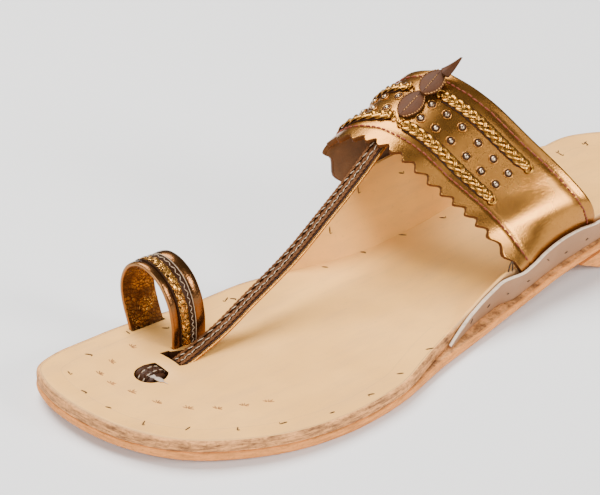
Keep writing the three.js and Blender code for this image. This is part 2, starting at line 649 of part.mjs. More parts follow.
const BAND_TEETH_FROM = 0.10;
const BAND_TEETH_TO = 0.885;
function bandLength(across, from, to) {
  let total = 0;
  const stops = range(LENGTH_STOPS).map((t) => bandAt(lerp(from, to, t), across));
  for (let i = 1; i < stops.length; i += 1) total += stops[i].distanceTo(stops[i - 1]);
  return total;
}

function bandSolid() {
  const teeth = Math.round(bandLength(0, BAND_TEETH_FROM, BAND_TEETH_TO) / TOOTH_PITCH);
  const stations = [
    ...range(3).slice(0, -1).map((t) => ({ t: t * BAND_TEETH_FROM, tooth: 0 })),
    ...range(2 * teeth).map((t, i) => ({
      t: lerp(BAND_TEETH_FROM, BAND_TEETH_TO, t),
      tooth: i % 2 ? TOOTH_DEPTH : 0,
    })),
    ...range(3).slice(1).map((t) => ({ t: lerp(BAND_TEETH_TO, 1, t), tooth: 0 })),
  ];
  return toSolid(loftSolid(stations.map(({ t, tooth }) => {
    const width = bandAt(t, 0).distanceTo(bandAt(t, 1));
    const columns = [-tooth / width, ...BAND_COLUMNS];
    const face = (lift) => columns.map((across) => bandPoint(t, across, lift).toArray());
    return [...face(0), ...face(-BAND_THICKNESS).reverse()];
  })));
}

const strapAxes = ['x', 'y', 'z'].map((axis) => column(STRAP, axis, false));
function strapPoint(t) {
  const base = insoleTop(STRAP[0].x);
  return new THREE.Vector3(
    forward(strapAxes[0](t)),
    strapAxes[1](t) * BALL_WIDTH,
    base + strapAxes[2](t) * STRAP_RISE,
  );
}

function strapSolid() {
  const points = range(LENGTH_STOPS).map(strapPoint);
  const length = points.slice(1).reduce((total, point, i) => total + point.distanceTo(points[i]), 0);
  const stops = 2 * Math.round(length / STRAP_STITCH);
  return toSolid(loftSolid(range(stops).map((t, i) => {
    const centre = strapPoint(t);
    const along = strapPoint(Math.min(1, t + NEAR)).sub(strapPoint(Math.max(0, t - NEAR))).normalize();
    const up = new THREE.Vector3().crossVectors(along, STRAP_SIDEWAYS).normalize();
    if (up.z < 0) up.negate();
    const relief = (w) => (Math.abs(w) === 1 || w === 0 ? STRAP_RELIEF.groove : STRAP_RELIEF.strand[i % 2]);
    const place = (w, lift) => centre.clone()
      .addScaledVector(STRAP_SIDEWAYS, w * STRAP_WIDTH / 2).addScaledVector(up, lift).toArray();
    const top = STRAP_COLUMNS.map((w) => place(w, relief(w)));
    const bottom = STRAP_COLUMNS.map((w) => place(w, -STRAP_THICKNESS));
    return [...top, ...bottom.reverse()];
  })));
}

const ringBase = insoleTop(RING_AT.x + RING_WIDTH / 2 / LENGTH);
const ringAcross = column(RING, 'across', false);
const ringUp = column(RING, 'up', false);
// The ring's outer leg stands further forward than its inner leg.
const ringCentre = (t) => forward(RING_AT.x) + RING_SKEW * ringAcross(t);
function ringPoint(t) {
  return {
    y: RING_AT.y * BALL_WIDTH - ringAcross(t) * RING_SPAN,
    z: ringBase + ringUp(t) * RING_RISE,
  };
}

function ringFrame(t) {
  const here = ringPoint(t);
  const next = ringPoint(Math.min(1, t + NEAR));
  const previous = ringPoint(Math.max(0, t - NEAR));
  const dy = next.y - previous.y;
  const dz = next.z - previous.z;
  const size = Math.hypot(dy, dz);
  return { ...here, normalY: dz / size, normalZ: -dy / size };
}

function ringGeometry() {
  return loftSolid(range(RING_ROWS).map((t, i) => {
    const frame = ringFrame(t);
    const place = (w, lift) => [
      ringCentre(t) + w * RING_WIDTH / 2,
      frame.y + frame.normalY * lift,
      frame.z + frame.normalZ * lift,
    ];
    const relief = (w) => {
      const edge = Math.abs(w);
      if (edge < RING_PLAIT_REACH) return RING_PLAIT_HEIGHT / (i % 2 ? 1 : 2);
      return edge < RING_GROOVE_REACH ? -RING_GROOVE_DEPTH : 0;
    };
    const outer = RING_COLUMNS.map((w) => place(w, relief(w)));
    const inner = RING_COLUMNS.map((w) => place(w, -RING_THICKNESS));
    return [...outer, ...inner.reverse()];
  }));
}

// The slot that a leg of the ring stands in, with a clearance all round.
function ringLegSlot(end, low, high) {
  const levels = [end, RING_SLOT_LEVELS[end]];
  const outward = end ? -1 : 1;
  const faces = levels.flatMap((t) => [
    ringPoint(t).y + outward * (RING_PLAIT_HEIGHT + 2 * CLEARANCE),
    ringPoint(t).y - outward * (RING_THICKNESS + 2 * CLEARANCE),
  ]);
  const centres = levels.map(ringCentre);
  const halfWidth = RING_WIDTH / 2 + 2 * CLEARANCE;
  const outline = box(
    Math.min(...centres) - halfWidth,
    Math.max(...centres) + halfWidth,
    Math.min(...faces),
    Math.max(...faces),
  );
  return cutter(outline, low, high);
}

// A braid lies on the band between two places along it.
function braidGeometry({ from, to }) {
  const length = bandLength((from.across + to.across) / 2, from.t, to.t);
  const stops = Math.max(4, 2 * Math.round(length / BRAID_STITCH));
  return loftSolid(range(stops).map((part, i) => {
    const t = lerp(from.t, to.t, part);
    const across = lerp(from.across, to.across, part);
    const width = bandAt(t, 0).distanceTo(bandAt(t, 1));
    const place = (w, lift) => bandPoint(t, across + (w * BRAID_WIDTH) / (2 * width), lift).toArray();
    const relief = (w) => {
      if (Math.abs(w) === 1) return BRAID_RELIEF.rim;
      return (w === 0 ? BRAID_RELIEF.middle : BRAID_RELIEF.strand)[i % 2];
    };
    const top = BRAID_COLUMNS.map((w) => place(w, CLEARANCE + BRAID_HEIGHT * relief(w)));
    const bottom = BRAID_COLUMNS.map((w) => place(w, CLEARANCE));
    return [...top, ...bottom.reverse()];
  }));
}

// A stud is a low dome in a rim, standing on the band.
function studGeometry(t, across) {
  const radius = STUD_DIAMETER / 2;
  const profile = [
    [0, 0],
    [radius, 0],
    [radius * STUD_RIM.top, STUD_HEIGHT * STUD_RIM.height],
    [radius * STUD_RIM.crownRadius, STUD_HEIGHT * STUD_RIM.crown],
    [0, STUD_HEIGHT],
  ];
  const centre = bandPoint(t, across, CLEARANCE);
  const normal = bandNormal(t, across);
  const spin = new THREE.Quaternion().setFromUnitVectors(new THREE.Vector3(0, 0, 1), normal);
  return loftSolid(profile.map(([r, z]) => range(STUD_SIDES).slice(0, -1).map((turnShare) => {
    const angle = 2 * Math.PI * turnShare;
    return new THREE.Vector3(r * Math.cos(angle), r * Math.sin(angle), z)
      .applyQuaternion(spin).add(centre).toArray();
  })), false);
}

// A leaf lies over the band from one place to another, with a pinked rim.
function leafGeometry({ from, to, width, lift }) {
  const route = (r) => {
    const t = lerp(from.t, to.t, r);
    const across = lerp(from.across, to.across, r);
    return bandPoint(t, across, lift(r));
  };
  return loftSolid(range(LEAF_ROWS).map((r, i) => {
    const t = lerp(from.t, to.t, r);
    const across = Math.min(1, lerp(from.across, to.across, r));
    const centre = route(r);
    const along = route(Math.min(1, r + 2 * NEAR)).sub(route(Math.max(0, r - 2 * NEAR))).normalize();
    const sideways = new THREE.Vector3().crossVectors(bandNormal(t, across), along).normalize();
    const normal = new THREE.Vector3().crossVectors(along, sideways).normalize();
    const form = Math.sin(Math.PI * clamp(r, 0, 1)) ** LEAF_ROUNDNESS;
    const half = (width / 2) * form * (i % 2 ? 1 : LEAF_SCALLOP);
    const place = (w, raised) => centre.clone()
      .addScaledVector(sideways, w * half).addScaledVector(normal, raised).toArray();
    const thinning = LEAF_THINNING * (2 * half) / width;
    const top = LEAF_COLUMNS.map((w) => place(w, LEAF_THICKNESS * (1 - thinning * Math.abs(w))));
    const bottom = LEAF_COLUMNS.map((w) => place(w, 0));
    return [...top, ...bottom.reverse()];
  }), false);
}

// The strap's end comes up in the front hole as a low loop.
const loopFloor = outsoleTop(shareAt(holeCentre[0])) + CLEARANCE;
function strapLoopGeometry() {
  const outerRadius = HOLE_FLAT * HOLE_DIAMETER / 2 - CLEARANCE;
  const innerRadius = outerRadius - LOOP_THICKNESS;
  return loftSolid(range(LOOP_ROWS).map((part, i) => {
    const angle = Math.PI * (1 - part);
    const place = (w, radius) => [
      holeCentre[0] + radius * Math.cos(angle),
      holeCentre[1] - LOOP_OFFSET + w * LOOP_WIDTH / 2,
      loopFloor + radius * Math.sin(angle),
    ];
    const relief = (w) => (Math.abs(w) === 0.5 && i % 2 ? 0 : STITCH_DEPTH);
    const outer = LOOP_COLUMNS.map((w) => place(w, outerRadius - relief(w)));
    const inner = LOOP_COLUMNS.map((w) => place(w, innerRadius));
    return [...outer, ...inner.reverse()];
  }));
}

// The thong peg lies on the insole with its end against the loop's side.
function thongPegGeometry() {
  const radius = PEG_DIAMETER / 2;
  const peg = new THREE.CylinderGeometry(radius, radius * PEG_TAPER, PEG_LENGTH, PEG_SIDES);
  const side = holeCentre[1] - LOOP_OFFSET + LOOP_WIDTH / 2 + CLEARANCE;
  peg.rotateZ(PEG_TURN);
  const level = insoleTop(shareAt(holeCentre[0])) + radius + CLEARANCE;
  peg.translate(holeCentre[0] + PEG_FORWARD, side + PEG_LENGTH / 2, level);
  return peg;
}

addPiece('outsole', outsoleGeometry(), SOLE_LEATHER);
addPiece('heel_lift', heelLiftGeometry(), SOLE_LEATHER);
addPiece('insole', insoleGeometry(), LEATHER);
addPiece('ear_lateral', earGeometry(SIDES.lateral), EAR_LEATHER);
addPiece('ear_medial', earGeometry(SIDES.medial), EAR_LEATHER);
addPiece('upper_straps', toGeometry(bandSolid().add(strapSolid())), BRONZE);
addPiece('toe_ring', ringGeometry(), BRONZE);
TRIM_SPANS.forEach((span) => addPiece(span.name, braidGeometry(span), GOLD));
STUD_ROWS.forEach((row) => range(row.count - 1).forEach((part, i) => {
  const t = lerp(row.from.t, row.to.t, part);
  const across = lerp(row.from.across, row.to.across, part);
  addPiece(`${row.name}_${i + 1}`, studGeometry(t, across), SILVER);
}));

LEAVES.forEach((leaf) => addPiece(leaf.name, leafGeometry(leaf), LEAF_BROWN));
addPiece('strap_loop', strapLoopGeometry(), LEAF_BROWN);
addPiece('thong_peg', thongPegGeometry(), THONG);

export default sandal;
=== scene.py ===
"""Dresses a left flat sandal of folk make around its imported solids.

It lays on leather, foil, plaits, studs and stitches. Lengths are in metres. Toes point to +X, the
little toe side is +Y, and the floor is Z = 0. The origin is the middle of the heel lift's flat
underside, as in the solids.
"""

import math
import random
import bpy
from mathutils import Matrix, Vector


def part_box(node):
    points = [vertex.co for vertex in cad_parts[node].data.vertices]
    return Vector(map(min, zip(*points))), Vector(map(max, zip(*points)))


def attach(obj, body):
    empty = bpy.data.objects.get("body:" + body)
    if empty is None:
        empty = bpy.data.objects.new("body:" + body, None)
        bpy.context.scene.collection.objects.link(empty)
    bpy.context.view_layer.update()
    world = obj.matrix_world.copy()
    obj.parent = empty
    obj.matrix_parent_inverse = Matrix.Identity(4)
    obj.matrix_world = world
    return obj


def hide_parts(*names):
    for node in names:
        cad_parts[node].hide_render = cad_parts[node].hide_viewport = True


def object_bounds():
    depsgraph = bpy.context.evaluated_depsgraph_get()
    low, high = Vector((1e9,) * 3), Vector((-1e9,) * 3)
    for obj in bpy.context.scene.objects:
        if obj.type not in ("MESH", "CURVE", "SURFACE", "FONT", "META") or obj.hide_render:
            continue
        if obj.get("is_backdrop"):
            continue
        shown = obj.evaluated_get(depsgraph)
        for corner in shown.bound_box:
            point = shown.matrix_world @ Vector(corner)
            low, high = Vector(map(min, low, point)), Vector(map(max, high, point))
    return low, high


bl_info = {
    "name": "Braided sandal with a toe ring",
    "version": (1, 0, 0),
    "blender": (4, 5, 0),
    "location": "3D View > Sidebar > Sandal",
    "description": "Builds a flat leather sandal with a studded band, a strap and a toe ring",
    "category": "Object",
}

from functools import lru_cache

import bmesh
import bpy
from bpy.props import FloatProperty, FloatVectorProperty, PointerProperty
from mathutils import Matrix, Vector, kdtree
from mathutils.bvhtree import BVHTree

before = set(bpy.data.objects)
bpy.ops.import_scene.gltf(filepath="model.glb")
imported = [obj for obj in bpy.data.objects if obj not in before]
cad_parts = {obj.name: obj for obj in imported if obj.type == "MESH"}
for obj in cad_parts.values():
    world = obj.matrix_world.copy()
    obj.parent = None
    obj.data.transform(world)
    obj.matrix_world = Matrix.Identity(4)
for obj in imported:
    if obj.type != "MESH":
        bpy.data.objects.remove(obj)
CAD_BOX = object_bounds()
ROOT = "root"

# The sole, from the frame and the real sizes of its layers
SOLE_LOW, SOLE_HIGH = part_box("outsole")
LENGTH = SOLE_HIGH.x - SOLE_LOW.x
HEEL_BACK = SOLE_LOW.x
BALL_WIDTH = 0.085
OUTSOLE_THICKNESS = 0.0036
INSOLE_THICKNESS = 0.003
HEEL_HEIGHT = 0.0104
HEEL_LIFT_LENGTH = 0.071
HEEL_BREAST_SLOPE = 0.015
TOE_SPRING = 0.0026
DISH_DEPTH = 0.002
CLEARANCE = 0.0003

# Raised sides: the insole's wings inside, the ears outside, the band's ends between
LATERAL_WING_HEIGHT = 0.0065
MEDIAL_WING_HEIGHT = 0.0274
WING_THICKNESS = 0.0014
WING_LEAN = 0.22
LATERAL_EAR_HEIGHT = 0.0112
MEDIAL_EAR_HEIGHT = 0.019
EAR_THICKNESS = 0.0014
SOLE_LEDGE = 0.0016

# Instep band, strap and toe ring
BAND_THICKNESS = 0.0018
BAND_RISE = 0.061
STRAP_RISE = 0.046
RING_THICKNESS = 0.0012
RING_SPAN = 0.0225
RING_RISE = 0.0265
RING_SKEW = 0.0041

# Cuts in the toe of the insole
SLIT_LENGTH = 0.0124
SLIT_WIDTH = 0.0034
HOLE_DIAMETER = 0.0108
HOLE_OFFSET = 0.0017
HOLE_FLAT = 0.75
BRIDGE_WIDTH = 0.005
NOTCH_LENGTH = 0.0078
SNUG = 0.00008
CLOSE = 0.00001

# The photograph's camera: where it stands and looks, and its lens in pixels of the picture
PICTURE = (600, 495)
CAMERA_AT = Vector((0.53184, 0.48508, 0.39311))
CAMERA_AZIMUTH = math.radians(140.905)
CAMERA_ELEVATION = math.radians(29.655)
CAMERA_ROLL = math.radians(-0.938)
FOCAL_PIXELS = 2300
SENSOR_WIDTH = 36

# The sole's plan: distances from the long axis in shares of BALL_WIDTH, at shares of LENGTH.
# Seat is how far the insole steps in to seat band and ear, as a share of that stack.
PLAN = [
    # place, lateral, medial, lateral seat, medial seat
    (0.000, 0.014, -0.014, 0.0, 0.0),
    (0.030, 0.215, 0.179, 0.0, 0.0),
    (0.090, 0.321, 0.287, 0.0, 0.0),
    (0.200, 0.354, 0.325, 0.8, 0.8),
    (0.340, 0.353, 0.337, 1.0, 1.0),
    (0.460, 0.400, 0.365, 1.0, 1.0),
    (0.560, 0.461, 0.402, 0.45, 0.6),
    (0.660, 0.545, 0.434, 0.0, 0.0),
    (0.740, 0.564, 0.439, 0.0, 0.0),
    (0.820, 0.533, 0.467, 0.0, 0.0),
    (0.890, 0.446, 0.461, 0.0, 0.0),
    (0.945, 0.319, 0.444, 0.0, 0.0),
    (0.985, 0.108, 0.375, 0.0, 0.0),
    (1.000, -0.167, 0.167, 0.0, 0.0),
]

# The sole's underside over the floor in shares of HEEL_HEIGHT and TOE_SPRING, and the insole's
# dish in shares of DISH_DEPTH
SIDE_VIEW = [
    # place, heel, toe, dish
    (0.00, 1.00, 0.0, 1.0),
    (0.20, 1.00, 0.0, 1.0),
    (0.30, 0.60, 0.0, 0.6),
    (0.40, 0.20, 0.0, 0.3),
    (0.52, 0.00, 0.0, 0.1),
    (0.72, 0.00, 0.0, 0.0),
    (0.80, 0.00, 0.2, 0.0),
    (0.90, 0.00, 0.6, 0.1),
    (1.00, 0.00, 1.0, 0.4),
]

# Heights along the raised sides, as shares of the four heights named above
LATERAL_WING = [
    (0.14, 0.0), (0.20, 0.10), (0.25, 0.35), (0.30, 0.75), (0.34, 0.75),
    (0.385, 0.80), (0.413, 1.0), (0.448, 0.80), (0.48, 0.45), (0.54, 0.0),
]
MEDIAL_WING = [
    (0.14, 0.0), (0.17, 0.05), (0.21, 0.20), (0.25, 0.42), (0.29, 0.66), (0.33, 0.84), (0.37, 0.95),
    (0.402, 0.99), (0.434, 0.98), (0.458, 0.93), (0.488, 0.82), (0.525, 0.60), (0.56, 0.33),
    (0.585, 0.12), (0.62, 0.0),
]
LATERAL_EAR = [
    (0.15, 0.14), (0.18, 0.35), (0.22, 0.55), (0.26, 0.77), (0.29, 0.95),
    (0.32, 1.0), (0.35, 0.96), (0.369, 0.85), (0.389, 0.81), (0.413, 0.92),
    (0.448, 0.78), (0.48, 0.60), (0.512, 0.32), (0.54, 0.08),
]
MEDIAL_EAR = [
    (0.15, 0.08), (0.20, 0.26), (0.25, 0.50), (0.29, 0.74), (0.33, 0.90), (0.37, 0.97), (0.41, 1.0),
    (0.45, 0.90), (0.49, 0.70), (0.53, 0.38), (0.57, 0.06),
]

# The band from its lateral end to its medial end. Seated rows give heights over the seat's foot in
# shares of the ear's height; free rows give shares of LENGTH and BALL_WIDTH, and of BAND_RISE over
# the seat level.
BAND = [
    # along, side, front x, front y, front z, back x, back y, back z
    (0.00, "lateral", 0.381, None, 0.35, 0.254, None, 0.35),
    (0.04, "lateral", 0.388, None, 0.72, 0.254, None, 0.70),
    (0.07, "lateral", 0.394, None, 1.00, 0.254, None, 0.96),
    (0.17, None, 0.417, 0.259, 0.349, 0.267, 0.335, 0.376),
    (0.27, None, 0.431, 0.165, 0.464, 0.286, 0.259, 0.530),
    (0.38, None, 0.450, 0.059, 0.579, 0.310, 0.129, 0.704),
    (0.49, None, 0.468, -0.059, 0.710, 0.333, -0.024, 0.882),
    (0.58, None, 0.480, -0.165, 0.764, 0.351, -0.141, 0.972),
    (0.66, None, 0.489, -0.259, 0.767, 0.363, -0.235, 0.997),
    (0.74, None, 0.500, -0.365, 0.718, 0.377, -0.365, 0.931),
    (0.82, None, 0.499, -0.436, 0.592, 0.383, -0.436, 0.767),
    (0.90, "medial", 0.478, None, 1.55, 0.370, None, 1.75),
    (0.95, "medial", 0.472, None, 1.02, 0.364, None, 1.10),
    (1.00, "medial", 0.467, None, 0.50, 0.357, None, 0.45),
]

# The strap's upper face from the toe slit to the band: shares of LENGTH, BALL_WIDTH and STRAP_RISE
STRAP = [
    (0.00, 0.838, -0.111, 0.000),
    (0.06, 0.822, -0.113, 0.024),
    (0.17, 0.770, -0.127, 0.100),
    (0.30, 0.718, -0.141, 0.217),
    (0.50, 0.639, -0.162, 0.402),
    (0.66, 0.585, -0.178, 0.570),
    (0.81, 0.538, -0.191, 0.726),
    (0.91, 0.506, -0.199, 0.843),
    (1.00, 0.470, -0.206, 0.995),
]

# The toe ring's loop from its inner leg to its outer leg: shares of RING_SPAN and RING_RISE
RING_FOOT = -INSOLE_THICKNESS / RING_RISE
RING = [
    (0.00, 0.03, RING_FOOT), (0.10, 0.01, 0.10), (0.22, 0.01, 0.34), (0.34, 0.08, 0.62),
    (0.44, 0.23, 0.84), (0.53, 0.45, 0.97), (0.62, 0.68, 0.985), (0.70, 0.87, 0.88),
    (0.78, 0.985, 0.67), (0.87, 0.985, 0.38), (0.94, 0.91, 0.12), (1.00, 0.83, RING_FOOT),
]
SLIT_AT = (0.833, -0.125)
RING_AT = (0.794, -0.188)

# Where the trims lie on the band: each end's place along it, and its share across from the front
BRAIDS = [
    ("braid_lateral_front", (0.278, 0.235), (0.588, 0.265)),
    ("braid_lateral_back", (0.320, 0.742), (0.580, 0.744)),
    ("braid_medial_front", (0.635, 0.300), (0.860, 0.220)),
    ("braid_medial_back", (0.680, 0.715), (0.860, 0.745)),
]
STUD_ROWS = [
    ("stud_back", (0.329, 0.568), (0.577, 0.605), 6),
    ("stud_front", (0.315, 0.393), (0.565, 0.416), 6),
    ("stud_medial_back", (0.684, 0.59), (0.76, 0.6), 3),
    ("stud_medial_front", (0.68, 0.41), (0.756, 0.415), 3),
]

# Marks on the foot bed, as pixels of the photograph: bits of stitching thread, each with its slant
THREADS_SEEN = [
    (88.7, 354.7, 20), (69.0, 373.0, 80), (84.0, 391.7, 60), (108.4, 407.7, 40),
    (143.5, 423.2, 100), (187.8, 428.8, 110), (237.5, 428.8, 95), (283.7, 423.2, 130),
    (332.3, 412.8, 130), (371.3, 394.5, 150), (400.2, 373.8, 160), (429.7, 349.0, 150),
    (128.0, 332.8, 70), (233.0, 299.0, 15), (165.6, 328.4, 5), (401.0, 173.0, 10),
    (442.5, 218.0, 15), (402.7, 235.2, 15), (363.0, 252.4, 15), (325.0, 267.3, 20),
    (358.0, 190.0, 75), (329.7, 230.0, 80), (586.0, 143.7, 60), (560.6, 154.7, 60),
]
STARS_SEEN = [
    (110.4, 362.0), (98.6, 374.0), (110.4, 383.9), (130.3, 392.3), (156.6, 403.0),
    (187.5, 408.6), (217.3, 409.1), (243.9, 405.8), (267.8, 402.1), (130.8, 346.8),
]


def smooth(value):
    share = min(1.0, max(0.0, value))
    return share * share * (3 - 2 * share)


def blend(low, high, share):
    return low + (high - low) * share


def curve_through(places, values, monotone=True):
    """A smooth curve through rows of a table. Monotone curves never pass beyond their rows."""
    last = len(places) - 1
    steps = [(values[i + 1] - values[i]) / (places[i + 1] - places[i]) for i in range(last)]
    slopes = [steps[0]]
    for i in range(1, last):
        before = places[i] - places[i - 1]
        after = places[i + 1] - places[i]
        if not monotone:
            slopes.append((steps[i - 1] * after + steps[i] * before) / (before + after))
        elif steps[i - 1] * steps[i] <= 0:
            slopes.append(0.0)
        else:
            near = 2 * after + before
            far = after + 2 * before
            slopes.append((near + far) / (near / steps[i - 1] + far / steps[i]))
    slopes.append(steps[-1])

    def value_at(place):
        held = min(places[last], max(places[0], place))
        i = 0
        while i < last - 1 and held > places[i + 1]:
            i += 1
        span = places[i + 1] - places[i]
        t = (held - places[i]) / span
        rise = steps[i] * span
        start = slopes[i] * span
        end = slopes[i + 1] * span
        bend = 3 * rise - 2 * start - end + t * (start + end - 2 * rise)
        return values[i] + t * (start + t * bend)

    return value_at


def table_curve(table, column, monotone=True, place=lambda share: share):
    return curve_through([place(row[0]) for row in table], [row[column] for row in table], monotone)


def turn(share):
    """Where a share of the length lies on stations that are closer towards heel and toe."""
    return math.acos(1 - 2 * min(1.0, max(0.0, share))) / math.pi


def share_of_turn(place):
    return (1 - math.cos(math.pi * place)) / 2


class Side:
    """One side of the sole: its plan, its seat, its wing and its ear."""

    def __init__(self, sign, plan_column, seat_column, wing, wing_height, ear, ear_height, cover):
        self.sign = sign
        self.plan = table_curve(PLAN, plan_column, False, turn)
        self.seat = table_curve(PLAN, seat_column)
        self.wing = table_curve(wing, 1)
        self.wing_height = wing_height
        self.ear_table = ear
        self.ear = table_curve(ear, 1)
        self.ear_height = ear_height
        self.cover = cover


LATERAL = Side(1, 1, 3, LATERAL_WING, LATERAL_WING_HEIGHT, LATERAL_EAR, LATERAL_EAR_HEIGHT,
               (BAND[0][5], BAND[1][2]))
MEDIAL = Side(-1, 2, 4, MEDIAL_WING, MEDIAL_WING_HEIGHT, MEDIAL_EAR, MEDIAL_EAR_HEIGHT,
              (BAND[-1][5], BAND[-2][2]))
SIDES = {"lateral": LATERAL, "medial": MEDIAL}

heel_share = table_curve(SIDE_VIEW, 1)
toe_share = table_curve(SIDE_VIEW, 2)
dish_share = table_curve(SIDE_VIEW, 3)


def forward(share):
    return HEEL_BACK + share * LENGTH


def share_at(x):
    return (x - HEEL_BACK) / LENGTH


@lru_cache(maxsize=20000)
def underside(share):
    return HEEL_HEIGHT * heel_share(share) + TOE_SPRING * toe_share(share)


def outsole_top(share):
    return underside(share) + OUTSOLE_THICKNESS


def insole_foot(share):
    return outsole_top(share) + CLEARANCE


def insole_top(share):
    return insole_foot(share) + INSOLE_THICKNESS


@lru_cache(maxsize=20000)
def plan_y(side, share):
    return side.plan(turn(share)) * BALL_WIDTH


SPREAD = math.hypot(1, WING_LEAN)
STACK = (3 * CLEARANCE + BAND_THICKNESS + EAR_THICKNESS) * SPREAD + SOLE_LEDGE
INSOLE_INSET = 0.0004
END_ROUNDING = 0.03
LEAST_RISE = 0.00025


def side_inset(share):
    return INSOLE_INSET * smooth(min(share, 1 - share) / END_ROUNDING)


def end_inset(share):
    return INSOLE_INSET * (smooth((1 - share) / END_ROUNDING) - smooth(share / END_ROUNDING))


def wing_rise(side, share):
    rise = side.wing(share) * side.wing_height
    return 0.0 if rise < LEAST_RISE else rise


def wing_presence(side, share):
    return min(1.0, wing_rise(side, share) / (2 * WING_THICKNESS))


def wing_face(side, share, z):
    """The outer face of the insole's edge and wing, as a distance from the long axis."""
    foot = plan_y(side, share) - side_inset(share) - STACK * side.seat(share)
    return foot + WING_LEAN * wing_presence(side, share) * (z - insole_foot(share))


def seated_band_face(side, share, z):
    return wing_face(side, share, z) + (CLEARANCE + BAND_THICKNESS) * SPREAD


COVER_RAMP = 0.03
COVER_MARGIN = 0.016


def ear_gap(side, share):
    """How far an ear stands off the insole's wing: further where it covers the band's end."""
    rear = smooth((share - side.cover[0] + COVER_MARGIN + COVER_RAMP) / COVER_RAMP)
    front = smooth((side.cover[1] + COVER_MARGIN + COVER_RAMP - share) / COVER_RAMP)
    return (CLEARANCE + rear * front * (BAND_THICKNESS + CLEARANCE)) * SPREAD


# The bridge between slit and hole is pushed up by the strap's end below it
BRIDGE_HEIGHT = 0.0014
BRIDGE_REACH = (0.0042, 0.0075)
SLIT = Vector((forward(SLIT_AT[0]), SLIT_AT[1] * BALL_WIDTH))
HOLE = Vector((SLIT.x + SLIT_WIDTH / 2 + BRIDGE_WIDTH + HOLE_FLAT * HOLE_DIAMETER / 2,
               SLIT.y + HOLE_OFFSET))
BRIDGE = Vector((SLIT.x + SLIT_WIDTH / 2 + BRIDGE_WIDTH / 2, SLIT.y + HOLE_OFFSET / 2))


def toe_relief(x, y):
    away = math.hypot((x - BRIDGE.x) / BRIDGE_REACH[0], (y - BRIDGE.y) / BRIDGE_REACH[1])
    return BRIDGE_HEIGHT * math.exp(-away * away)


# The band's lines at its front edge, middle and back edge
BAND_SEAT_LEVEL = OUTSOLE_THICKNESS + INSOLE_THICKNESS


def band_line(share_across):
    points = []
    for _, side_name, front_x, front_y, front_z, back_x, back_y, back_z in BAND:
        share = blend(front_x, back_x, share_across)
        if side_name is None:
            y = blend(front_y, back_y, share_across) * BALL_WIDTH
            z = BAND_SEAT_LEVEL + blend(front_z, back_z, share_across) * BAND_RISE
        else:
            side = SIDES[side_name]
            levels = [insole_foot(x) + height * side.ear(x) * side.ear_height
                      for x, height in ((front_x, front_z), (back_x, back_z))]
            z = blend(levels[0], levels[1], share_across)
            y = side.sign * seated_band_face(side, share, z)
        points.append((forward(share), y, z))
    places = [row[0] for row in BAND]
    axes = [curve_through(places, [point[axis] for point in points], False) for axis in range(3)]
    return lambda along: Vector([axis(along) for axis in axes])


BAND_LINES = [band_line(share) for share in (0, 0.5, 1)]


@lru_cache(maxsize=20000)
def band_section(along):
    return [line(along) for line in BAND_LINES]


def band_at(along, across):
    """A point of the band's outer face: along from its lateral end, across from its front edge."""
    front, middle, back = band_section(round(along, 6))
    return (front * ((1 - across) * (1 - 2 * across)) + middle * (4 * across * (1 - across))
            + back * (across * (2 * across - 1)))


NEAR = 0.01
UPWARD = Vector((0, 0, 1))


@lru_cache(maxsize=20000)
def band_normal(along, across):
    step = band_at(min(1, along + NEAR), across) - band_at(max(0, along - NEAR), across)
    over = band_at(along, 1) - band_at(along, 0)
    return -step.cross(over).normalized()


@lru_cache(maxsize=20000)
def band_width(along):
    return (band_at(along, 0) - band_at(along, 1)).length


def band_point(along, across, lift):
    return band_at(along, across) + band_normal(round(along, 6), round(across, 6)) * lift


def path_length(points):
    return sum((after - before).length for before, after in zip(points, points[1:]))


LENGTH_STOPS = 60


def band_length(across, start, end):
    stops = [band_at(blend(start, end, i / LENGTH_STOPS), across) for i in range(LENGTH_STOPS + 1)]
    return path_length(stops)


STRAP_AXES = [table_curve(STRAP, column, False) for column in (1, 2, 3)]
STRAP_SIDEWAYS = Vector((0.09, 1, 0)).normalized()


@lru_cache(maxsize=4000)
def strap_centre(along):
    base = insole_top(STRAP[0][1])
    x, y, z = [axis(along) for axis in STRAP_AXES]
    return Vector((forward(x), y * BALL_WIDTH, base + z * STRAP_RISE))


@lru_cache(maxsize=4000)
def strap_up(along):
    step = strap_centre(min(1, along + NEAR)) - strap_centre(max(0, along - NEAR))
    up = step.cross(STRAP_SIDEWAYS).normalized()
    return -up if up.z < 0 else up


def strap_point(along, sideways, lift):
    return strap_centre(along) + STRAP_SIDEWAYS * sideways + strap_up(along) * lift


ring_across = table_curve(RING, 1, False)
ring_up = table_curve(RING, 2, False)


def ring_centre(along):
    """The ring's outer leg stands further forward than its inner leg."""
    return forward(RING_AT[0]) + RING_SKEW * ring_across(along)


def ring_line(along, base):
    y = RING_AT[1] * BALL_WIDTH - ring_across(along) * RING_SPAN
    return y, base + ring_up(along) * RING_RISE


@lru_cache(maxsize=4000)
def ring_frame(along, width):
    """A place on the ring's outer line, and the direction outwards there, in its upright plane."""
    base = insole_top(RING_AT[0] + width / 2 / LENGTH)
    here = ring_line(along, base)
    after = ring_line(min(1, along + NEAR), base)
    before = ring_line(max(0, along - NEAR), base)
    dy = after[0] - before[0]
    dz = after[1] - before[1]
    size = math.hypot(dy, dz)
    return here, (dz / size, -dy / size)


def ring_point(along, across, lift, width):
    """A point of the ring: across from its rear edge to its front edge, lift outwards."""
    (y, z), (out_y, out_z) = ring_frame(along, width)
    return Vector((ring_centre(along) + (across - 0.5) * width, y + out_y * lift, z + out_z * lift))


def measure(name, description, value):
    return FloatProperty(name=name, description=description, default=value, subtype="DISTANCE",
                         unit="LENGTH")


def colour(name, description, value):
    return FloatVectorProperty(name=name, description=description, default=value, size=3, min=0,
                               max=1, subtype="COLOR")


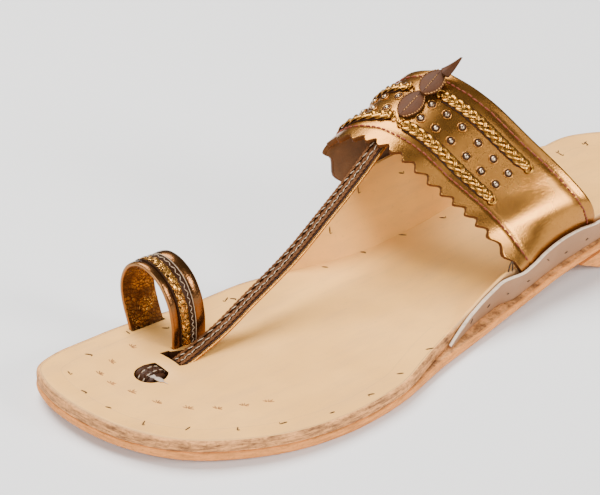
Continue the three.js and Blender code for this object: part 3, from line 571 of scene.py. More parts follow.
class SandalSizes(bpy.types.PropertyGroup):
    """Sizes of the details that lie on the sandal's solids."""

    leather_edge: measure("Edge rounding", "Rounding of the cut leather edges", 0.0004)
    tooth_pitch: measure("Tooth pitch", "Length of a tooth of the pinked edge", 0.006)
    tooth_depth: measure("Tooth depth", "Depth of a tooth of the pinked edge", 0.0022)
    seam_stitch: measure("Seam stitch", "Length of a stitch of the band's seams", 0.0024)
    seam_thread: measure("Seam thread", "Diameter of the thread of the band's seams", 0.00062)
    sole_thread: measure("Sole thread", "Diameter of the thread in the sole", 0.0003)
    braid_width: measure("Braid width", "Width of the braids on the band", 0.0046)
    braid_pitch: measure("Braid pitch", "Length in which a braid's strand comes round", 0.0096)
    stud_diameter: measure("Stud diameter", "Outer diameter of a stud's rim", 0.0036)
    leaf_width: measure("Leaf width", "Width of the leaves that lie on the band", 0.008)
    strap_width: measure("Strap width", "Width of the strap to the toes", 0.006)
    strap_thickness: measure("Strap thickness", "Thickness of the strap to the toes", 0.0024)
    ring_width: measure("Ring width", "Width of the toe ring", 0.0128)


class SandalColours(bpy.types.PropertyGroup):
    """Colours of the sandal's leathers, foils, threads and metal."""

    bed: colour("Foot bed", "Pale vegetable-tanned leather of the insole", (0.96, 0.495, 0.125))
    upper_cut: colour("Insole edge", "Fibrous cut edge of the insole", (0.76, 0.34, 0.11))
    lower_cut: colour("Outsole edge", "Smooth cut edge of the outsole", (0.76, 0.285, 0.068))
    ear: colour("Ear", "Flesh side of the ears' leather", (0.33, 0.168, 0.083))
    foil: colour("Foil", "Bronze foil of the band", (0.385, 0.165, 0.033))
    copper: colour("Copper foil", "Darker foil of the toe ring", (0.175, 0.072, 0.022))
    gold: colour("Gold", "Gold foil of the plaits", (0.44, 0.205, 0.036))
    # The brown also paints shade: the strips under the band's braids and the cut walls of the toe
    # openings
    brown: colour("Brown", "Dark brown leather of the strap's plait", (0.034, 0.012, 0.0045))
    leaf: colour("Leaf", "Brown foil of the leaves", (0.066, 0.022, 0.0065))
    lining: colour("Lining", "Lining of the band", (0.13, 0.062, 0.026))
    seam: colour("Seam thread", "Red-brown thread of the seams", (0.21, 0.033, 0.011))
    silver: colour("Silver", "Silver thread and metal", (0.46, 0.34, 0.225))
    thong: colour("Thong", "Raw hide thong", (0.4, 0.31, 0.245))
    floor: colour("Floor", "Pale studio floor", (0.86, 0.86, 0.86))


def sizes():
    return bpy.context.scene.sandal_sizes


def colours():
    return bpy.context.scene.sandal_colours


# Materials

def put(tree, kind, inputs=None, **settings):
    """Adds a node, with its settings, and each input set to a value or linked from a socket."""
    made = tree.nodes.new(kind)
    for name, value in settings.items():
        setattr(made, name, value)
    for name, value in (inputs or {}).items():
        if isinstance(value, bpy.types.NodeSocket):
            tree.links.new(value, made.inputs[name])
        else:
            made.inputs[name].default_value = value
    return made


def object_place(tree, stretch=(1, 1, 1), turned=(0, 0, 0)):
    inputs = {"Vector": put(tree, "ShaderNodeTexCoord").outputs["Object"], "Scale": stretch,
              "Rotation": turned}
    return put(tree, "ShaderNodeMapping", inputs).outputs[0]


def cloud(tree, place, scale, detail=4.0, roughness=0.55):
    inputs = {"Vector": place, "Scale": scale, "Detail": detail, "Roughness": roughness}
    return put(tree, "ShaderNodeTexNoise", inputs).outputs["Fac"]


def pebble(tree, place, scale, feature="F1"):
    inputs = {"Vector": place, "Scale": scale}
    return put(tree, "ShaderNodeTexVoronoi", inputs, feature=feature).outputs["Distance"]


def ranged(tree, value, low, high, to_low=0.0, to_high=1.0):
    inputs = {"Value": value, "From Min": low, "From Max": high, "To Min": to_low,
              "To Max": to_high}
    made = put(tree, "ShaderNodeMapRange", inputs, interpolation_type="SMOOTHSTEP")
    return made.outputs["Result"]


def reckon(tree, operation, first, second=0.0):
    return put(tree, "ShaderNodeMath", {0: first, 1: second}, operation=operation).outputs[0]


def tinted(tree, share, first, second):
    inputs = {0: share, 6: first, 7: second}
    return put(tree, "ShaderNodeMix", inputs, data_type="RGBA").outputs[2]


def shade(base, factor=1.0):
    """The colour as a shader takes it, lightened or darkened by a factor."""
    return (*[min(1.0, channel * factor) for channel in base], 1.0)


def mottled(tree, field, base, dark, light, low=0.3, high=0.7):
    """The base colour, darker and lighter with a field."""
    return tinted(tree, ranged(tree, field, low, high), shade(base, dark), shade(base, light))


def stained(tree, tint, field, share, over):
    """The tint with another colour over it, as far as a share of the field says."""
    return tinted(tree, reckon(tree, "MULTIPLY", field, share), tint, over)


def bumped(tree, heights, distance, strength):
    """A bump from heights that are added up, each given with its share."""
    total = None
    for height, share in heights:
        part = reckon(tree, "MULTIPLY", height, share)
        total = part if total is None else reckon(tree, "ADD", total, part)
    inputs = {"Height": total, "Distance": distance, "Strength": strength}
    return put(tree, "ShaderNodeBump", inputs).outputs[0]


def started(name, sockets):
    """A new material and its node tree, with the shader's own sockets set."""
    material = bpy.data.materials.new(name)
    material.use_nodes = True
    shader = material.node_tree.nodes["Principled BSDF"]
    for socket, value in sockets.items():
        shader.inputs[socket].default_value = value
    return material, material.node_tree


def coated(material, tint, bump=None, roughness=None):
    """The material with its colour, its bump and its uneven roughness linked."""
    tree = material.node_tree
    inputs = tree.nodes["Principled BSDF"].inputs
    for socket, output in (("Base Color", tint), ("Normal", bump), ("Roughness", roughness)):
        if output is not None:
            tree.links.new(output, inputs[socket])
    return material


def mark(tree, name):
    return put(tree, "ShaderNodeAttribute", attribute_name=name).outputs["Fac"]


# Tones beside the chosen colours: what leathers and foils streak, wear or crack to, and painted
# shade for the punch marks and, in part, for the gaps in the gold plaits
BED_STREAK = (0.8, 0.43, 0.16)
BED_SPECK = (0.5, 0.27, 0.12)
BED_WORN = (0.86, 0.46, 0.17)
BED_LINE = (0.55, 0.32, 0.16)
# The punch marks' brown is painted shade in their dents
PUNCH_SHADE = (0.38, 0.18, 0.06)
FIBRE_DARK = (0.16, 0.066, 0.026)
WING_TAN = (0.62, 0.34, 0.14)
EAR_EDGE = (0.72, 0.55, 0.4)
BRONZE_WORN = (0.16, 0.06, 0.015)
COPPER_WORN = (0.08, 0.028, 0.009)
GOLD_WORN_AND_SHADE = (0.1, 0.036, 0.009)
PALE_GOLD = (0.34, 0.16, 0.055)
PALE_GOLD_WORN = (0.14, 0.058, 0.02)
CRUSHED_CRACK = (0.1, 0.038, 0.012)
CRUSHED_BARE = (0.1, 0.036, 0.011)
CRACKLE_GOLD = (0.62, 0.3, 0.06)
CRACKLE_CRACK = (0.07, 0.025, 0.008)
CRACKLE_BARE = (0.16, 0.06, 0.016)
STRAND_BRONZE = (0.1, 0.037, 0.011)
SOLE_THREAD_BROWN = (0.06, 0.032, 0.014)
BEAD_WORN = (0.62, 0.45, 0.3)

# How far from the foot bed's edge its two scribed lines lie, with their widths, and its worn rim
NEAR_LINE = (0.0019, 0.00022)
FAR_LINE = (0.0082, 0.0003)
WORN_RIM = (0.0004, 0.003)
LINE_WANDER = 0.0009

# Heights over the bed at which a wing's outer face turns from cut edge to smooth leather
WING_FACE_FROM = 0.0003
WING_FACE_TO = 0.0014


@lru_cache(maxsize=None)
def pale_leather():
    """Vegetable-tanned foot bed: pale, mottled, with pores and lines scribed round its margin."""
    material, tree = started("Pale leather", {"Specular IOR Level": 0.35})
    base = tuple(colours().bed)
    place = object_place(tree)
    along = object_place(tree, (0.25, 1, 1), (0, 0, 0.12))
    broad = ranged(tree, cloud(tree, place, 28, 3), 0.35, 0.68)
    streaks = ranged(tree, cloud(tree, along, 170, 5, 0.65), 0.42, 0.72)
    specks = ranged(tree, cloud(tree, place, 700, 2), 0.63, 0.74)
    tint = tinted(tree, broad, shade(base, 0.92), shade(base, 1.06))
    tint = stained(tree, tint, streaks, 0.38, shade(BED_STREAK, 0.88))
    tint = stained(tree, tint, specks, 0.16, shade(BED_SPECK))
    wander = reckon(tree, "MULTIPLY", cloud(tree, place, 40, 2), LINE_WANDER)
    margin = reckon(tree, "ADD", mark(tree, "margin"), wander)
    near_line = reckon(tree, "MULTIPLY", scribed(tree, margin, *NEAR_LINE), 0.75)
    far_line = reckon(tree, "MULTIPLY", scribed(tree, margin, *FAR_LINE), 0.28)
    lines = reckon(tree, "ADD", near_line, far_line)
    worn = ranged(tree, margin, *WORN_RIM, 1, 0)
    tint = stained(tree, tint, worn, 0.3, shade(BED_WORN, 0.95))
    tint = tinted(tree, lines, tint, shade(BED_LINE))
    pores = ranged(tree, pebble(tree, place, 1700), 0.0, 0.5)
    heights = [(pores, 0.12), (streaks, 0.4), (broad, 0.8), (lines, -1.3)]
    return coated(material, tint, bumped(tree, heights, 0.00016, 0.8),
                  ranged(tree, broad, 0, 1, 0.46, 0.58))


def scribed(tree, distance, at, width):
    """One along a line at a distance from the edge, and nothing elsewhere."""
    away = reckon(tree, "ABSOLUTE", reckon(tree, "SUBTRACT", distance, at))
    return ranged(tree, away, 0.0, width, 1, 0)


def cut_leather(name, base, dark, rough, wing=None):
    """The cut side of a leather sheet: fibres with darker dents, and a wing's smooth outer face."""
    material, tree = started(name, {"Roughness": 0.72, "Specular IOR Level": 0.25})
    place = object_place(tree)
    fibres = cloud(tree, object_place(tree, (0.35, 0.35, 2.4)), 520, 6, 0.7)
    blotches = cloud(tree, place, 110, 4, 0.6)
    dents = ranged(tree, cloud(tree, place, 900, 3), 0.5, 0.72)
    tint = tinted(tree, ranged(tree, fibres, 0.32, 0.68), shade(base, 1.12), shade(dark))
    tint = stained(tree, tint, ranged(tree, blotches, 0.45, 0.75), 0.5, shade(base, 1.25))
    tint = stained(tree, tint, dents, 0.4, shade(dark, 0.7))
    if wing:
        above = ranged(tree, mark(tree, "above"), WING_FACE_FROM, WING_FACE_TO)
        tint = tinted(tree, above, tint, mottled(tree, blotches, wing, 0.92, 1.08))
    return coated(material, tint, bumped(tree, [(fibres, 1.0), (dents, -0.8)], 0.00018, rough))


@lru_cache(maxsize=None)
def upper_cut_leather():
    return cut_leather("Insole edge leather", tuple(colours().upper_cut), FIBRE_DARK, 0.9, WING_TAN)


@lru_cache(maxsize=None)
def lower_cut_leather():
    base = tuple(colours().lower_cut)
    return cut_leather("Outsole edge leather", base, shade(base, 0.68)[:3], 0.55)


@lru_cache(maxsize=None)
def ear_edge_leather():
    return cut_leather("Ear edge leather", EAR_EDGE, shade(EAR_EDGE, 0.7)[:3], 0.4)


@lru_cache(maxsize=None)
def sole_leather():
    """The outsole's faces: flat brown leather, a little scuffed."""
    material, tree = started("Sole leather", {"Roughness": 0.68, "Specular IOR Level": 0.3})
    base = shade(tuple(colours().lower_cut), 0.82)[:3]
    broad = cloud(tree, object_place(tree), 45, 5, 0.6)
    along = object_place(tree, (0.2, 1, 1), (0, 0, 0.5))
    scuffs = ranged(tree, cloud(tree, along, 300, 5, 0.7), 0.55, 0.75)
    tint = mottled(tree, broad, base, 0.85, 1.12)
    tint = stained(tree, tint, scuffs, 0.4, shade(base, 1.35))
    return coated(material, tint, bumped(tree, [(broad, 0.6), (scuffs, 0.4)], 0.0002, 0.6))


@lru_cache(maxsize=None)
def ear_leather():
    """Mauve-tan flesh side, smooth and nearly matt."""
    material, tree = started("Ear leather", {"Roughness": 0.6, "Specular IOR Level": 0.3})
    base = tuple(colours().ear)
    place = object_place(tree)
    broad = cloud(tree, place, 60, 4, 0.55)
    fine = cloud(tree, place, 900, 4, 0.6)
    tint = mottled(tree, broad, base, 0.92, 1.08)
    tint = stained(tree, tint, ranged(tree, fine, 0.5, 0.8), 0.25, shade(base, 0.72))
    return coated(material, tint, bumped(tree, [(fine, 0.7), (broad, 0.6)], 0.0001, 0.5))


def foil_leather(name, base, deep, roughness, grain, wear=0.32):
    """Leather under metal foil: glossy, finely grained, a little rubbed and darker in its dips."""
    material, tree = started(name, {"Metallic": 0.94})
    place = object_place(tree)
    broad = cloud(tree, place, 75, 4, 0.6)
    fine = cloud(tree, place, 1500, 4, 0.65)
    cells = ranged(tree, pebble(tree, place, 1300), 0.05, 0.55)
    rubbed = ranged(tree, cloud(tree, place, 240, 6, 0.7), 0.56, 0.74)
    tint = mottled(tree, broad, base, 0.9, 1.12, 0.3, 0.72)
    tint = stained(tree, tint, rubbed, wear, shade(deep))
    tint = stained(tree, tint, ranged(tree, fine, 0.52, 0.72), 0.25, shade(deep, 0.85))
    heights = [(cells, 0.5), (fine, 0.45), (broad, 0.8), (rubbed, -0.5)]
    sheen = ranged(tree, broad, 0.25, 0.75, roughness - 0.04, roughness + 0.07)
    return coated(material, tint, bumped(tree, heights, 0.00013, grain), sheen)


@lru_cache(maxsize=None)
def bronze_foil():
    return foil_leather("Bronze foil", tuple(colours().foil), BRONZE_WORN, 0.25, 0.2)


@lru_cache(maxsize=None)
def copper_foil():
    return foil_leather("Copper foil", tuple(colours().copper), COPPER_WORN, 0.22, 0.35)


@lru_cache(maxsize=None)
def gold_foil():
    # Rubbed darker than the other foils: partly wear, partly painted shade for the dark gaps
    # between the plait's strands
    return foil_leather("Gold foil", tuple(colours().gold), GOLD_WORN_AND_SHADE, 0.26, 0.6, 0.92)


@lru_cache(maxsize=None)
def pale_foil():
    return foil_leather("Pale foil", PALE_GOLD, PALE_GOLD_WORN, 0.38, 0.6)


@lru_cache(maxsize=None)
def crushed_gold():
    """The ring's lining: gold foil crushed over a coarse weave, dark where the foil has cracked."""
    material, tree = started("Crushed gold", {"Metallic": 0.9})
    place = object_place(tree)
    cracks = ranged(tree, pebble(tree, place, 950, "DISTANCE_TO_EDGE"), 0.0, 0.22)
    lumps = pebble(tree, place, 700, "SMOOTH_F1")
    patches = ranged(tree, cloud(tree, place, 170, 5, 0.65), 0.4, 0.56)
    tint = tinted(tree, cracks, shade(CRUSHED_CRACK), shade(tuple(colours().gold)))
    tint = stained(tree, tint, patches, 0.86, shade(CRUSHED_BARE))
    bump = bumped(tree, [(cracks, 0.5), (lumps, 1.0)], 0.00035, 0.9)
    return coated(material, tint, bump, ranged(tree, patches, 0, 1, 0.28, 0.5))


@lru_cache(maxsize=None)
def crackled_gold():
    """Gold foil pressed over a plait, cracked to brown."""
    material, tree = started("Crackled gold", {"Metallic": 0.92})
    place = object_place(tree)
    cracks = ranged(tree, pebble(tree, place, 620, "DISTANCE_TO_EDGE"), 0.0, 0.14)
    patches = ranged(tree, cloud(tree, place, 210, 5, 0.7), 0.48, 0.66)
    tint = tinted(tree, cracks, shade(CRACKLE_CRACK), shade(CRACKLE_GOLD))
    tint = stained(tree, tint, patches, 0.85, shade(CRACKLE_BARE))
    bump = bumped(tree, [(cracks, 1.0), (patches, -0.4)], 0.00018, 0.8)
    return coated(material, tint, bump, ranged(tree, patches, 0, 1, 0.26, 0.42))


def plain_leather(name, base, roughness, grain, metallic=0.0, gloss=0.3):
    """Dyed leather: fine creases, a soft polish and slightly uneven dye."""
    material, tree = started(name, {"Specular IOR Level": gloss, "Metallic": metallic})
    place = object_place(tree)
    broad = cloud(tree, place, 140, 4, 0.6)
    fine = cloud(tree, place, 1600, 4, 0.65)
    tint = mottled(tree, broad, base, 0.78, 1.3)
    tint = stained(tree, tint, ranged(tree, fine, 0.55, 0.75), 0.3, shade(base, 1.9))
    sheen = ranged(tree, broad, 0.3, 0.7, roughness - 0.06, roughness + 0.08)
    return coated(material, tint, bumped(tree, [(fine, 1.0), (broad, 0.8)], 0.00012, grain), sheen)


@lru_cache(maxsize=None)
def leaf_foil():
    return plain_leather("Leaf leather", tuple(colours().leaf), 0.5, 0.9, gloss=0.14)


@lru_cache(maxsize=None)
def brown_leather():
    return plain_leather("Brown leather", tuple(colours().brown), 0.42, 0.6, gloss=0.14)


@lru_cache(maxsize=None)
def strand_leather():
    """Bronzed brown strands of the fine plaits."""
    return plain_leather("Strand leather", STRAND_BRONZE, 0.42, 0.6, metallic=0.3, gloss=0.1)


@lru_cache(maxsize=None)
def lining_leather():
    return plain_leather("Lining leather", tuple(colours().lining), 0.62, 0.9)


@lru_cache(maxsize=None)
def thong_leather():
    return plain_leather("Raw hide", tuple(colours().thong), 0.55, 0.8)


@lru_cache(maxsize=None)
def punch_shade_leather():
    """The dents that a punch leaves in the foot bed, drawn dark brown: painted shade in the dents.
    """
    return plain_leather("Punch mark shade", PUNCH_SHADE, 0.7, 0.5)


def thread(name, base, metallic, roughness):
    """Twisted thread: fine slanted ridges along each stitch."""
    material, tree = started(name, {"Metallic": metallic, "Roughness": roughness})
    place = object_place(tree, (1, 1, 1), (0.6, 0.4, 0.8))
    inputs = {"Vector": place, "Scale": 900.0, "Distortion": 1.5}
    twist = put(tree, "ShaderNodeTexWave", inputs).outputs["Fac"]
    tint = tinted(tree, twist, shade(base, 0.6), shade(base, 1.15))
    tint = stained(tree, tint, cloud(tree, place, 500, 3), 0.4, shade(base, 1.5))
    return coated(material, tint, bumped(tree, [(twist, 1.0)], 0.00008, 0.6))


@lru_cache(maxsize=None)
def seam_thread():
    return thread("Seam thread", tuple(colours().seam), 0.0, 0.55)


@lru_cache(maxsize=None)
def silver_thread():
    return thread("Silver thread", tuple(colours().silver), 0.15, 0.4)


@lru_cache(maxsize=None)
def sole_thread():
    return thread("Sole thread", SOLE_THREAD_BROWN, 0.0, 0.7)


@lru_cache(maxsize=None)
def stud_metal():
    """A stud's bead: worn silver over brass."""
    material, tree = started("Stud metal", {"Metallic": 0.95})
    worn = ranged(tree, cloud(tree, object_place(tree), 1200, 4, 0.6), 0.4, 0.7)
    tint = tinted(tree, worn, shade(tuple(colours().silver), 0.8), shade(BEAD_WORN))
    bump = bumped(tree, [(worn, 1.0)], 0.00005, 0.5)
    return coated(material, tint, bump, ranged(tree, worn, 0, 1, 0.16, 0.32))


@lru_cache(maxsize=None)
def studio_floor():
    material, tree = started("Studio floor", {"Roughness": 0.9, "Specular IOR Level": 0.1})
    patches = cloud(tree, object_place(tree), 3, 2)
    return coated(material, mottled(tree, patches, tuple(colours().floor), 0.995, 1.005))


# Shaping

SHARP = 50  # degrees: steeper edges than this show as edges


def grid_piece(rows, columns, place, marks=(), kinds=None):
    """A closed skin of rows by columns cells, each corner put at place(row, column).

    It closes round its columns and at both ends. Kinds gives each column of cells its material, and
    marks name the measures of its place that a material reads at each corner.
    """
    work = bmesh.new()
    floats = {name: work.verts.layers.float.new(name) for name, _ in marks}
    bmesh.ops.create_grid(work, x_segments=rows, y_segments=columns, size=0.5)
    cell = {vert: (round((vert.co.x + 0.5) * rows), round((vert.co.y + 0.5) * columns))
            for vert in work.verts}
    for face in work.faces:
        face.smooth = True
        if kinds:
            face.material_index = kinds[min(cell[vert][1] for vert in face.verts)]
    for vert, (row, column) in cell.items():
        vert.co = place(row, column % columns)
        for name, value in marks:
            vert[floats[name]] = value(vert.co)
    bmesh.ops.remove_doubles(work, verts=work.verts, dist=CLOSE / 10)
    bmesh.ops.holes_fill(work, edges=[edge for edge in work.edges if edge.is_boundary], sides=0)
    bmesh.ops.recalc_face_normals(work, faces=work.faces)
    return work


def loft(rows, kinds, marks=()):
    """A closed skin through sections, each a list of points."""
    return grid_piece(len(rows) - 1, len(rows[0]), lambda row, column: rows[row][column], marks,
                      kinds)


def strip_piece(rows, section, place, kinds=None):
    """A leather strip, its corners put at place(row, share across, shift, lift)."""
    kinds = kinds or [part[3] for part in section]
    return grid_piece(rows, len(section), lambda row, column: place(row, *section[column][:3]),
                      kinds=kinds)


def new_mesh(name, work, materials=()):
    """The shaped mesh as data of its own, with its materials."""
    mesh = bpy.data.meshes.new(name)
    work.to_mesh(mesh)
    work.free()
    for made in materials:
        mesh.materials.append(made)
    return mesh


def new_object(name, data):
    made = bpy.data.objects.new(name, data)
    bpy.context.scene.collection.objects.link(made)
    return made


def finished(work, name, materials, replaced=(), sharp=None):
    """Makes a piece from the shaped mesh, lets it ride and hides the solids it stands for."""
    mesh = new_mesh(name, work, materials)
    if sharp is not None:
        mesh.set_sharp_from_angle(angle=math.radians(sharp))
    piece = new_object(name, mesh)
    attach(piece, ROOT)
    if replaced:
        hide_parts(*replaced)
    return piece


def strip_section(shares, thickness, rounding):
    """The closed section of a leather strip: share across, shift inwards, lift and face's kind.

    Kind 0 is the upper face, 1 a cut edge and 2 the lower face.
    """
    top = [(0, rounding, 0, 0)] + [(share, 0, 0, 0) for share in shares] + [(1, -rounding, 0, 1)]
    far = [(1, 0, -rounding, 1), (1, 0, rounding - thickness, 1)]
    bottom = [(1, -rounding, -thickness, 2)]
    bottom += [(share, 0, -thickness, 2) for share in reversed(shares)]
    bottom.append((0, rounding, -thickness, 1))
    near = [(0, 0, rounding - thickness, 1), (0, 0, -rounding, 1)]
    return top + far + bottom + near


def spread(count):
    return [(i + 1) / (count + 1) for i in range(count)]


def tube(points, ups, width, height, sides=8, taper=None):
    """A round or flat strand along points, with its flat side turned up, closed at both ends."""
    last = len(points) - 1

    def place(row, column):
        step = points[min(last, row + 1)] - points[max(0, row - 1)]
        sideways = step.cross(ups[row]).normalized()
        over = sideways.cross(step).normalized()
        angle = math.tau * column / sides
        size = taper(row / last) if taper else 1
        return (points[row] + sideways * (math.cos(angle) * width / 2 * size)
                + over * (math.sin(angle) * height / 2 * size))

    return grid_piece(last, sides, place)


def joined(works):
    """One mesh from several, in the order given."""
    whole = works[0]
    for work in works[1:]:
        spare = new_mesh("spare", work)
        whole.from_mesh(spare)
        bpy.data.meshes.remove(spare)
    return whole


def add_stitch(work, start, end, up, diameter, sunk=0.25):
    """A stitch as a slim bead from one hole to the next, a little sunk in the leather."""
    along = end - start
    sideways = up.cross(along).normalized()
    over = along.cross(sideways).normalized()
    centre = (start + end) / 2 + over * (diameter * (0.5 - sunk))
    turned = Matrix((along.normalized(), sideways, over)).transposed().to_4x4()
    stretch = Matrix.Diagonal((along.length / 2, diameter / 2, diameter / 2, 1))
    made = bmesh.ops.create_uvsphere(work, u_segments=8, v_segments=6, radius=1,
                                     matrix=Matrix.Translation(centre) @ turned @ stretch)
    for vert in made["verts"]:
        for face in vert.link_faces:
            face.smooth = True


# Places seen in the photograph

def camera_axes():
    """The camera's right, up and backward directions."""
    back = Vector((math.sin(CAMERA_AZIMUTH) * math.cos(CAMERA_ELEVATION),
                   -math.cos(CAMERA_AZIMUTH) * math.cos(CAMERA_ELEVATION),
                   math.sin(CAMERA_ELEVATION)))
    right = (-back).cross(Vector((0, 0, 1))).normalized()
    up = back.cross(right)
    tilt = (math.cos(CAMERA_ROLL), math.sin(CAMERA_ROLL))
    return right * tilt[0] + up * tilt[1], up * tilt[0] - right * tilt[1], back


@lru_cache(maxsize=None)
def bed_tree():
    """The finished insole's faces, to lay marks on them."""
    mesh = bpy.data.objects["insole_leather"].data
    return BVHTree.FromPolygons([vert.co for vert in mesh.vertices],
                                [face.vertices for face in mesh.polygons])


def bed_point_seen(column, row):
    """The point of the insole that a pixel of the photograph shows, and the direction out of it."""
    right, up, back = camera_axes()
    aside = right * ((column - PICTURE[0] / 2) / FOCAL_PIXELS)
    ray = aside - up * ((row - PICTURE[1] / 2) / FOCAL_PIXELS) - back
    spot, normal, _, _ = bed_tree().ray_cast(CAMERA_AT, ray.normalized())
    if spot is None:
        raise RuntimeError(f"No insole is seen at {column}, {row}")
    return spot, normal


BED_REACH = 0.003


def laid_on_bed(point, normal, lift=0.0):
    """The point moved along the normal on to the insole."""
    spot, _, _, _ = bed_tree().ray_cast(point + normal * BED_REACH, -normal, 2 * BED_REACH)
    return (spot if spot is not None else point) + normal * lift


# Sole

SOLE_ROWS = 220
STATIONS = [share_of_turn(i / SOLE_ROWS) for i in range(SOLE_ROWS + 1)]
TURN_STEP = 0.002


def side_point(side, share, inset, z, inside=0.0):
    """A point of the sole's outline, moved in square to the outline."""
    place = turn(share)
    ahead = share_of_turn(min(1, place + TURN_STEP))
    behind = share_of_turn(max(0, place - TURN_STEP))
    along = Vector((forward(ahead) - forward(behind), plan_y(side, ahead) - plan_y(side, behind)))
    along.normalize()
    x = forward(share) + along.y * inset
    y = plan_y(side, share) - inside - along.x * inset
    return Vector((x, side.sign * y, z))


# The cut edges of outsole and heel lift, from top to bottom: inset, and height as a share
OUTSOLE_EDGE = [(0.0008, 1.0), (0.00035, 0.98), (0.0001, 0.88), (0.0, 0.7), (0.0001, 0.5),
                (0.0004, 0.28), (0.001, 0.1), (0.0019, 0.0)]
HEEL_EDGE = [(0.0, 1.0), (0.0002, 0.94), (0.00015, 0.6), (0.0003, 0.3), (0.0006, 0.08),
             (0.0012, 0.0)]
OUTSOLE_COLUMNS = 22
HEEL_COLUMNS = 18
HEEL_ROWS = 60
HEEL_HALF_WIDTH = 0.03


def slab_row(share, edge, columns, top, bottom):
    """One closed section of a sole layer, with its edge at both sides."""
    lateral, medial = ([side_point(side, share, inset, blend(bottom, top, height))
                        for inset, height in edge] for side in (LATERAL, MEDIAL))
    over = [medial[0].lerp(lateral[0], step) for step in spread(columns)]
    under = [lateral[-1].lerp(medial[-1], step) for step in spread(columns)]
    return medial[:1] + over + lateral + under + medial[:0:-1]


def slab_kinds(edge, columns, under):
    """The materials round a sole layer's section: face, cut edge, underside, cut edge."""
    cut = [1] * (len(edge) - 1)
    return [0] * (columns + 1) + cut + [under] * (columns + 1) + cut


def build_outsole():
    rows = [slab_row(share, OUTSOLE_EDGE, OUTSOLE_COLUMNS, outsole_top(share), underside(share))
            for share in STATIONS]
    work = loft(rows, slab_kinds(OUTSOLE_EDGE, OUTSOLE_COLUMNS, 2))
    materials = [upper_cut_leather(), lower_cut_leather(), sole_leather()]
    return finished(work, "outsole_leather", materials, ["outsole"], SHARP)


def build_heel_lift():
    """The heel lift follows the outsole above and slopes in towards the floor at its breast."""
    reach = HEEL_LIFT_LENGTH / LENGTH
    rows = []
    for i in range(HEEL_ROWS + 1):
        share = reach * (1 - math.cos(math.pi * i / HEEL_ROWS / 2))
        drawn = share * (1 - HEEL_BREAST_SLOPE / HEEL_LIFT_LENGTH)
        top = underside(share) - CLEARANCE
        row = slab_row(share, HEEL_EDGE, HEEL_COLUMNS, top, 0)
        shift = forward(drawn) - forward(share)
        for point in row:
            low = 1 - point.z / max(top, CLOSE)
            point.x += shift * low
            point.x += INSOLE_INSET * (1 - smooth(share / END_ROUNDING))
            point.y *= 1 - INSOLE_INSET / HEEL_HALF_WIDTH
        rows.append(row)
    work = loft(rows, slab_kinds(HEEL_EDGE, HEEL_COLUMNS, 0))
    return finished(work, "heel_lift_leather", [sole_leather(), lower_cut_leather()],
                    ["heel_lift"], SHARP)


# The insole's columns across its bed, and its stops up the outer face and down the inner face
PLATE_COLUMNS = 44
OUTER_LEVELS = [0, 0.06, 0.25, 0.5, 0.75, 0.93]
INNER_LEVELS = [0.93, 0.75, 0.5, 0.25, 0.1, 0.0]
EDGE_ROUNDING = 0.0011
WING_MARGIN = 0.02  # under a wing the lines scribed along the margin end


def insole_side(side, share):
    """The insole's edge at one side: up the outer face, over the crest and down to the bed."""
    rounding = blend(EDGE_ROUNDING, sizes().leather_edge, wing_presence(side, share))
    margin = insole_top(share) + DISH_DEPTH * dish_share(share)
    rise = wing_rise(side, share)
    crest = margin + rise
    foot = insole_foot(share)
    thickness = blend(2 * rounding, WING_THICKNESS, wing_presence(side, share))

    def at(z, inset):
        lean = wing_face(side, share, z) - wing_face(side, share, foot)
        seat = STACK * side.seat(share) + side_inset(share)
        point = side_point(side, share, inset, z, seat - lean)
        point.x += end_inset(share)
        return point

    outer = [at(blend(foot, crest - rounding, level), 0) for level in OUTER_LEVELS]
    crown = [at(crest - rounding * 0.4, rounding * 0.15),
             at(crest - rounding * 0.08, rounding * 0.5),
             at(crest, rounding), at(crest - min(rise, rounding) * 0.3, thickness - rounding * 0.3)]
    low = min(1, rise / LEAST_RISE / 8)
    inner = [at(blend(margin, crest, level * low), thickness) for level in INNER_LEVELS]
    return outer, crown, inner


def bed_row(share, medial, lateral):
    """The points across the foot bed, between the feet of its two margins."""
    dished = smooth(min(share, 1 - share) / (2 * END_ROUNDING))
    depth = DISH_DEPTH * dish_share(share)
    bed = []
    for step in spread(PLATE_COLUMNS):
        cosine = math.cos(math.pi * step)
        eased = 0.5 - 0.5 * cosine * (0.35 + 0.65 * abs(cosine))
        point = medial.lerp(lateral, eased)
        bowl = abs(2 * eased - 1) ** 4
        relief = toe_relief(point.x, point.y)
        point.z = insole_top(share) + depth * (1 - dished * (1 - bowl)) + relief
        bed.append(point)
    return bed


def build_insole():
    """The foot bed with its wings, then its openings cut out."""
    rows = []
    for share in STATIONS:
        outer, crown, inner = insole_side(LATERAL, share)
        far_outer, far_crown, far_inner = insole_side(MEDIAL, share)
        under = [outer[0].lerp(far_outer[0], step) for step in spread(PLATE_COLUMNS)]
        bed = bed_row(share, far_inner[-1], inner[-1])
        rows.append(far_inner[-1:] + bed + inner[::-1] + crown[::-1] + outer[::-1] + under
                    + far_outer + far_crown + far_inner[:-1])
    kinds = [0] * (PLATE_COLUMNS + len(inner) + len(crown) - 2) + [1] * (len(outer) + 2)
    kinds += [2] * (PLATE_COLUMNS + 1) + [1] * (len(outer) + 2)
    kinds += [0] * (len(rows[0]) - len(kinds))
    outline = outline_tree()

    def margin(point):
        side = LATERAL if point.y > 0 else MEDIAL
        away = outline.find((point.x, point.y, 0))[2]
        return away + WING_MARGIN * wing_presence(side, share_at(point.x))

    def above(point):
        return point.z - insole_top(share_at(point.x))

    work = loft(rows, kinds, [("margin", margin), ("above", above)])
    materials = [pale_leather(), upper_cut_leather(), sole_leather()]
    piece = finished(work, "insole_leather", materials, ["insole"])
    cut_openings(piece)
    piece.data.set_sharp_from_angle(angle=math.radians(SHARP))
    return piece


OUTLINE_STOPS = 1200


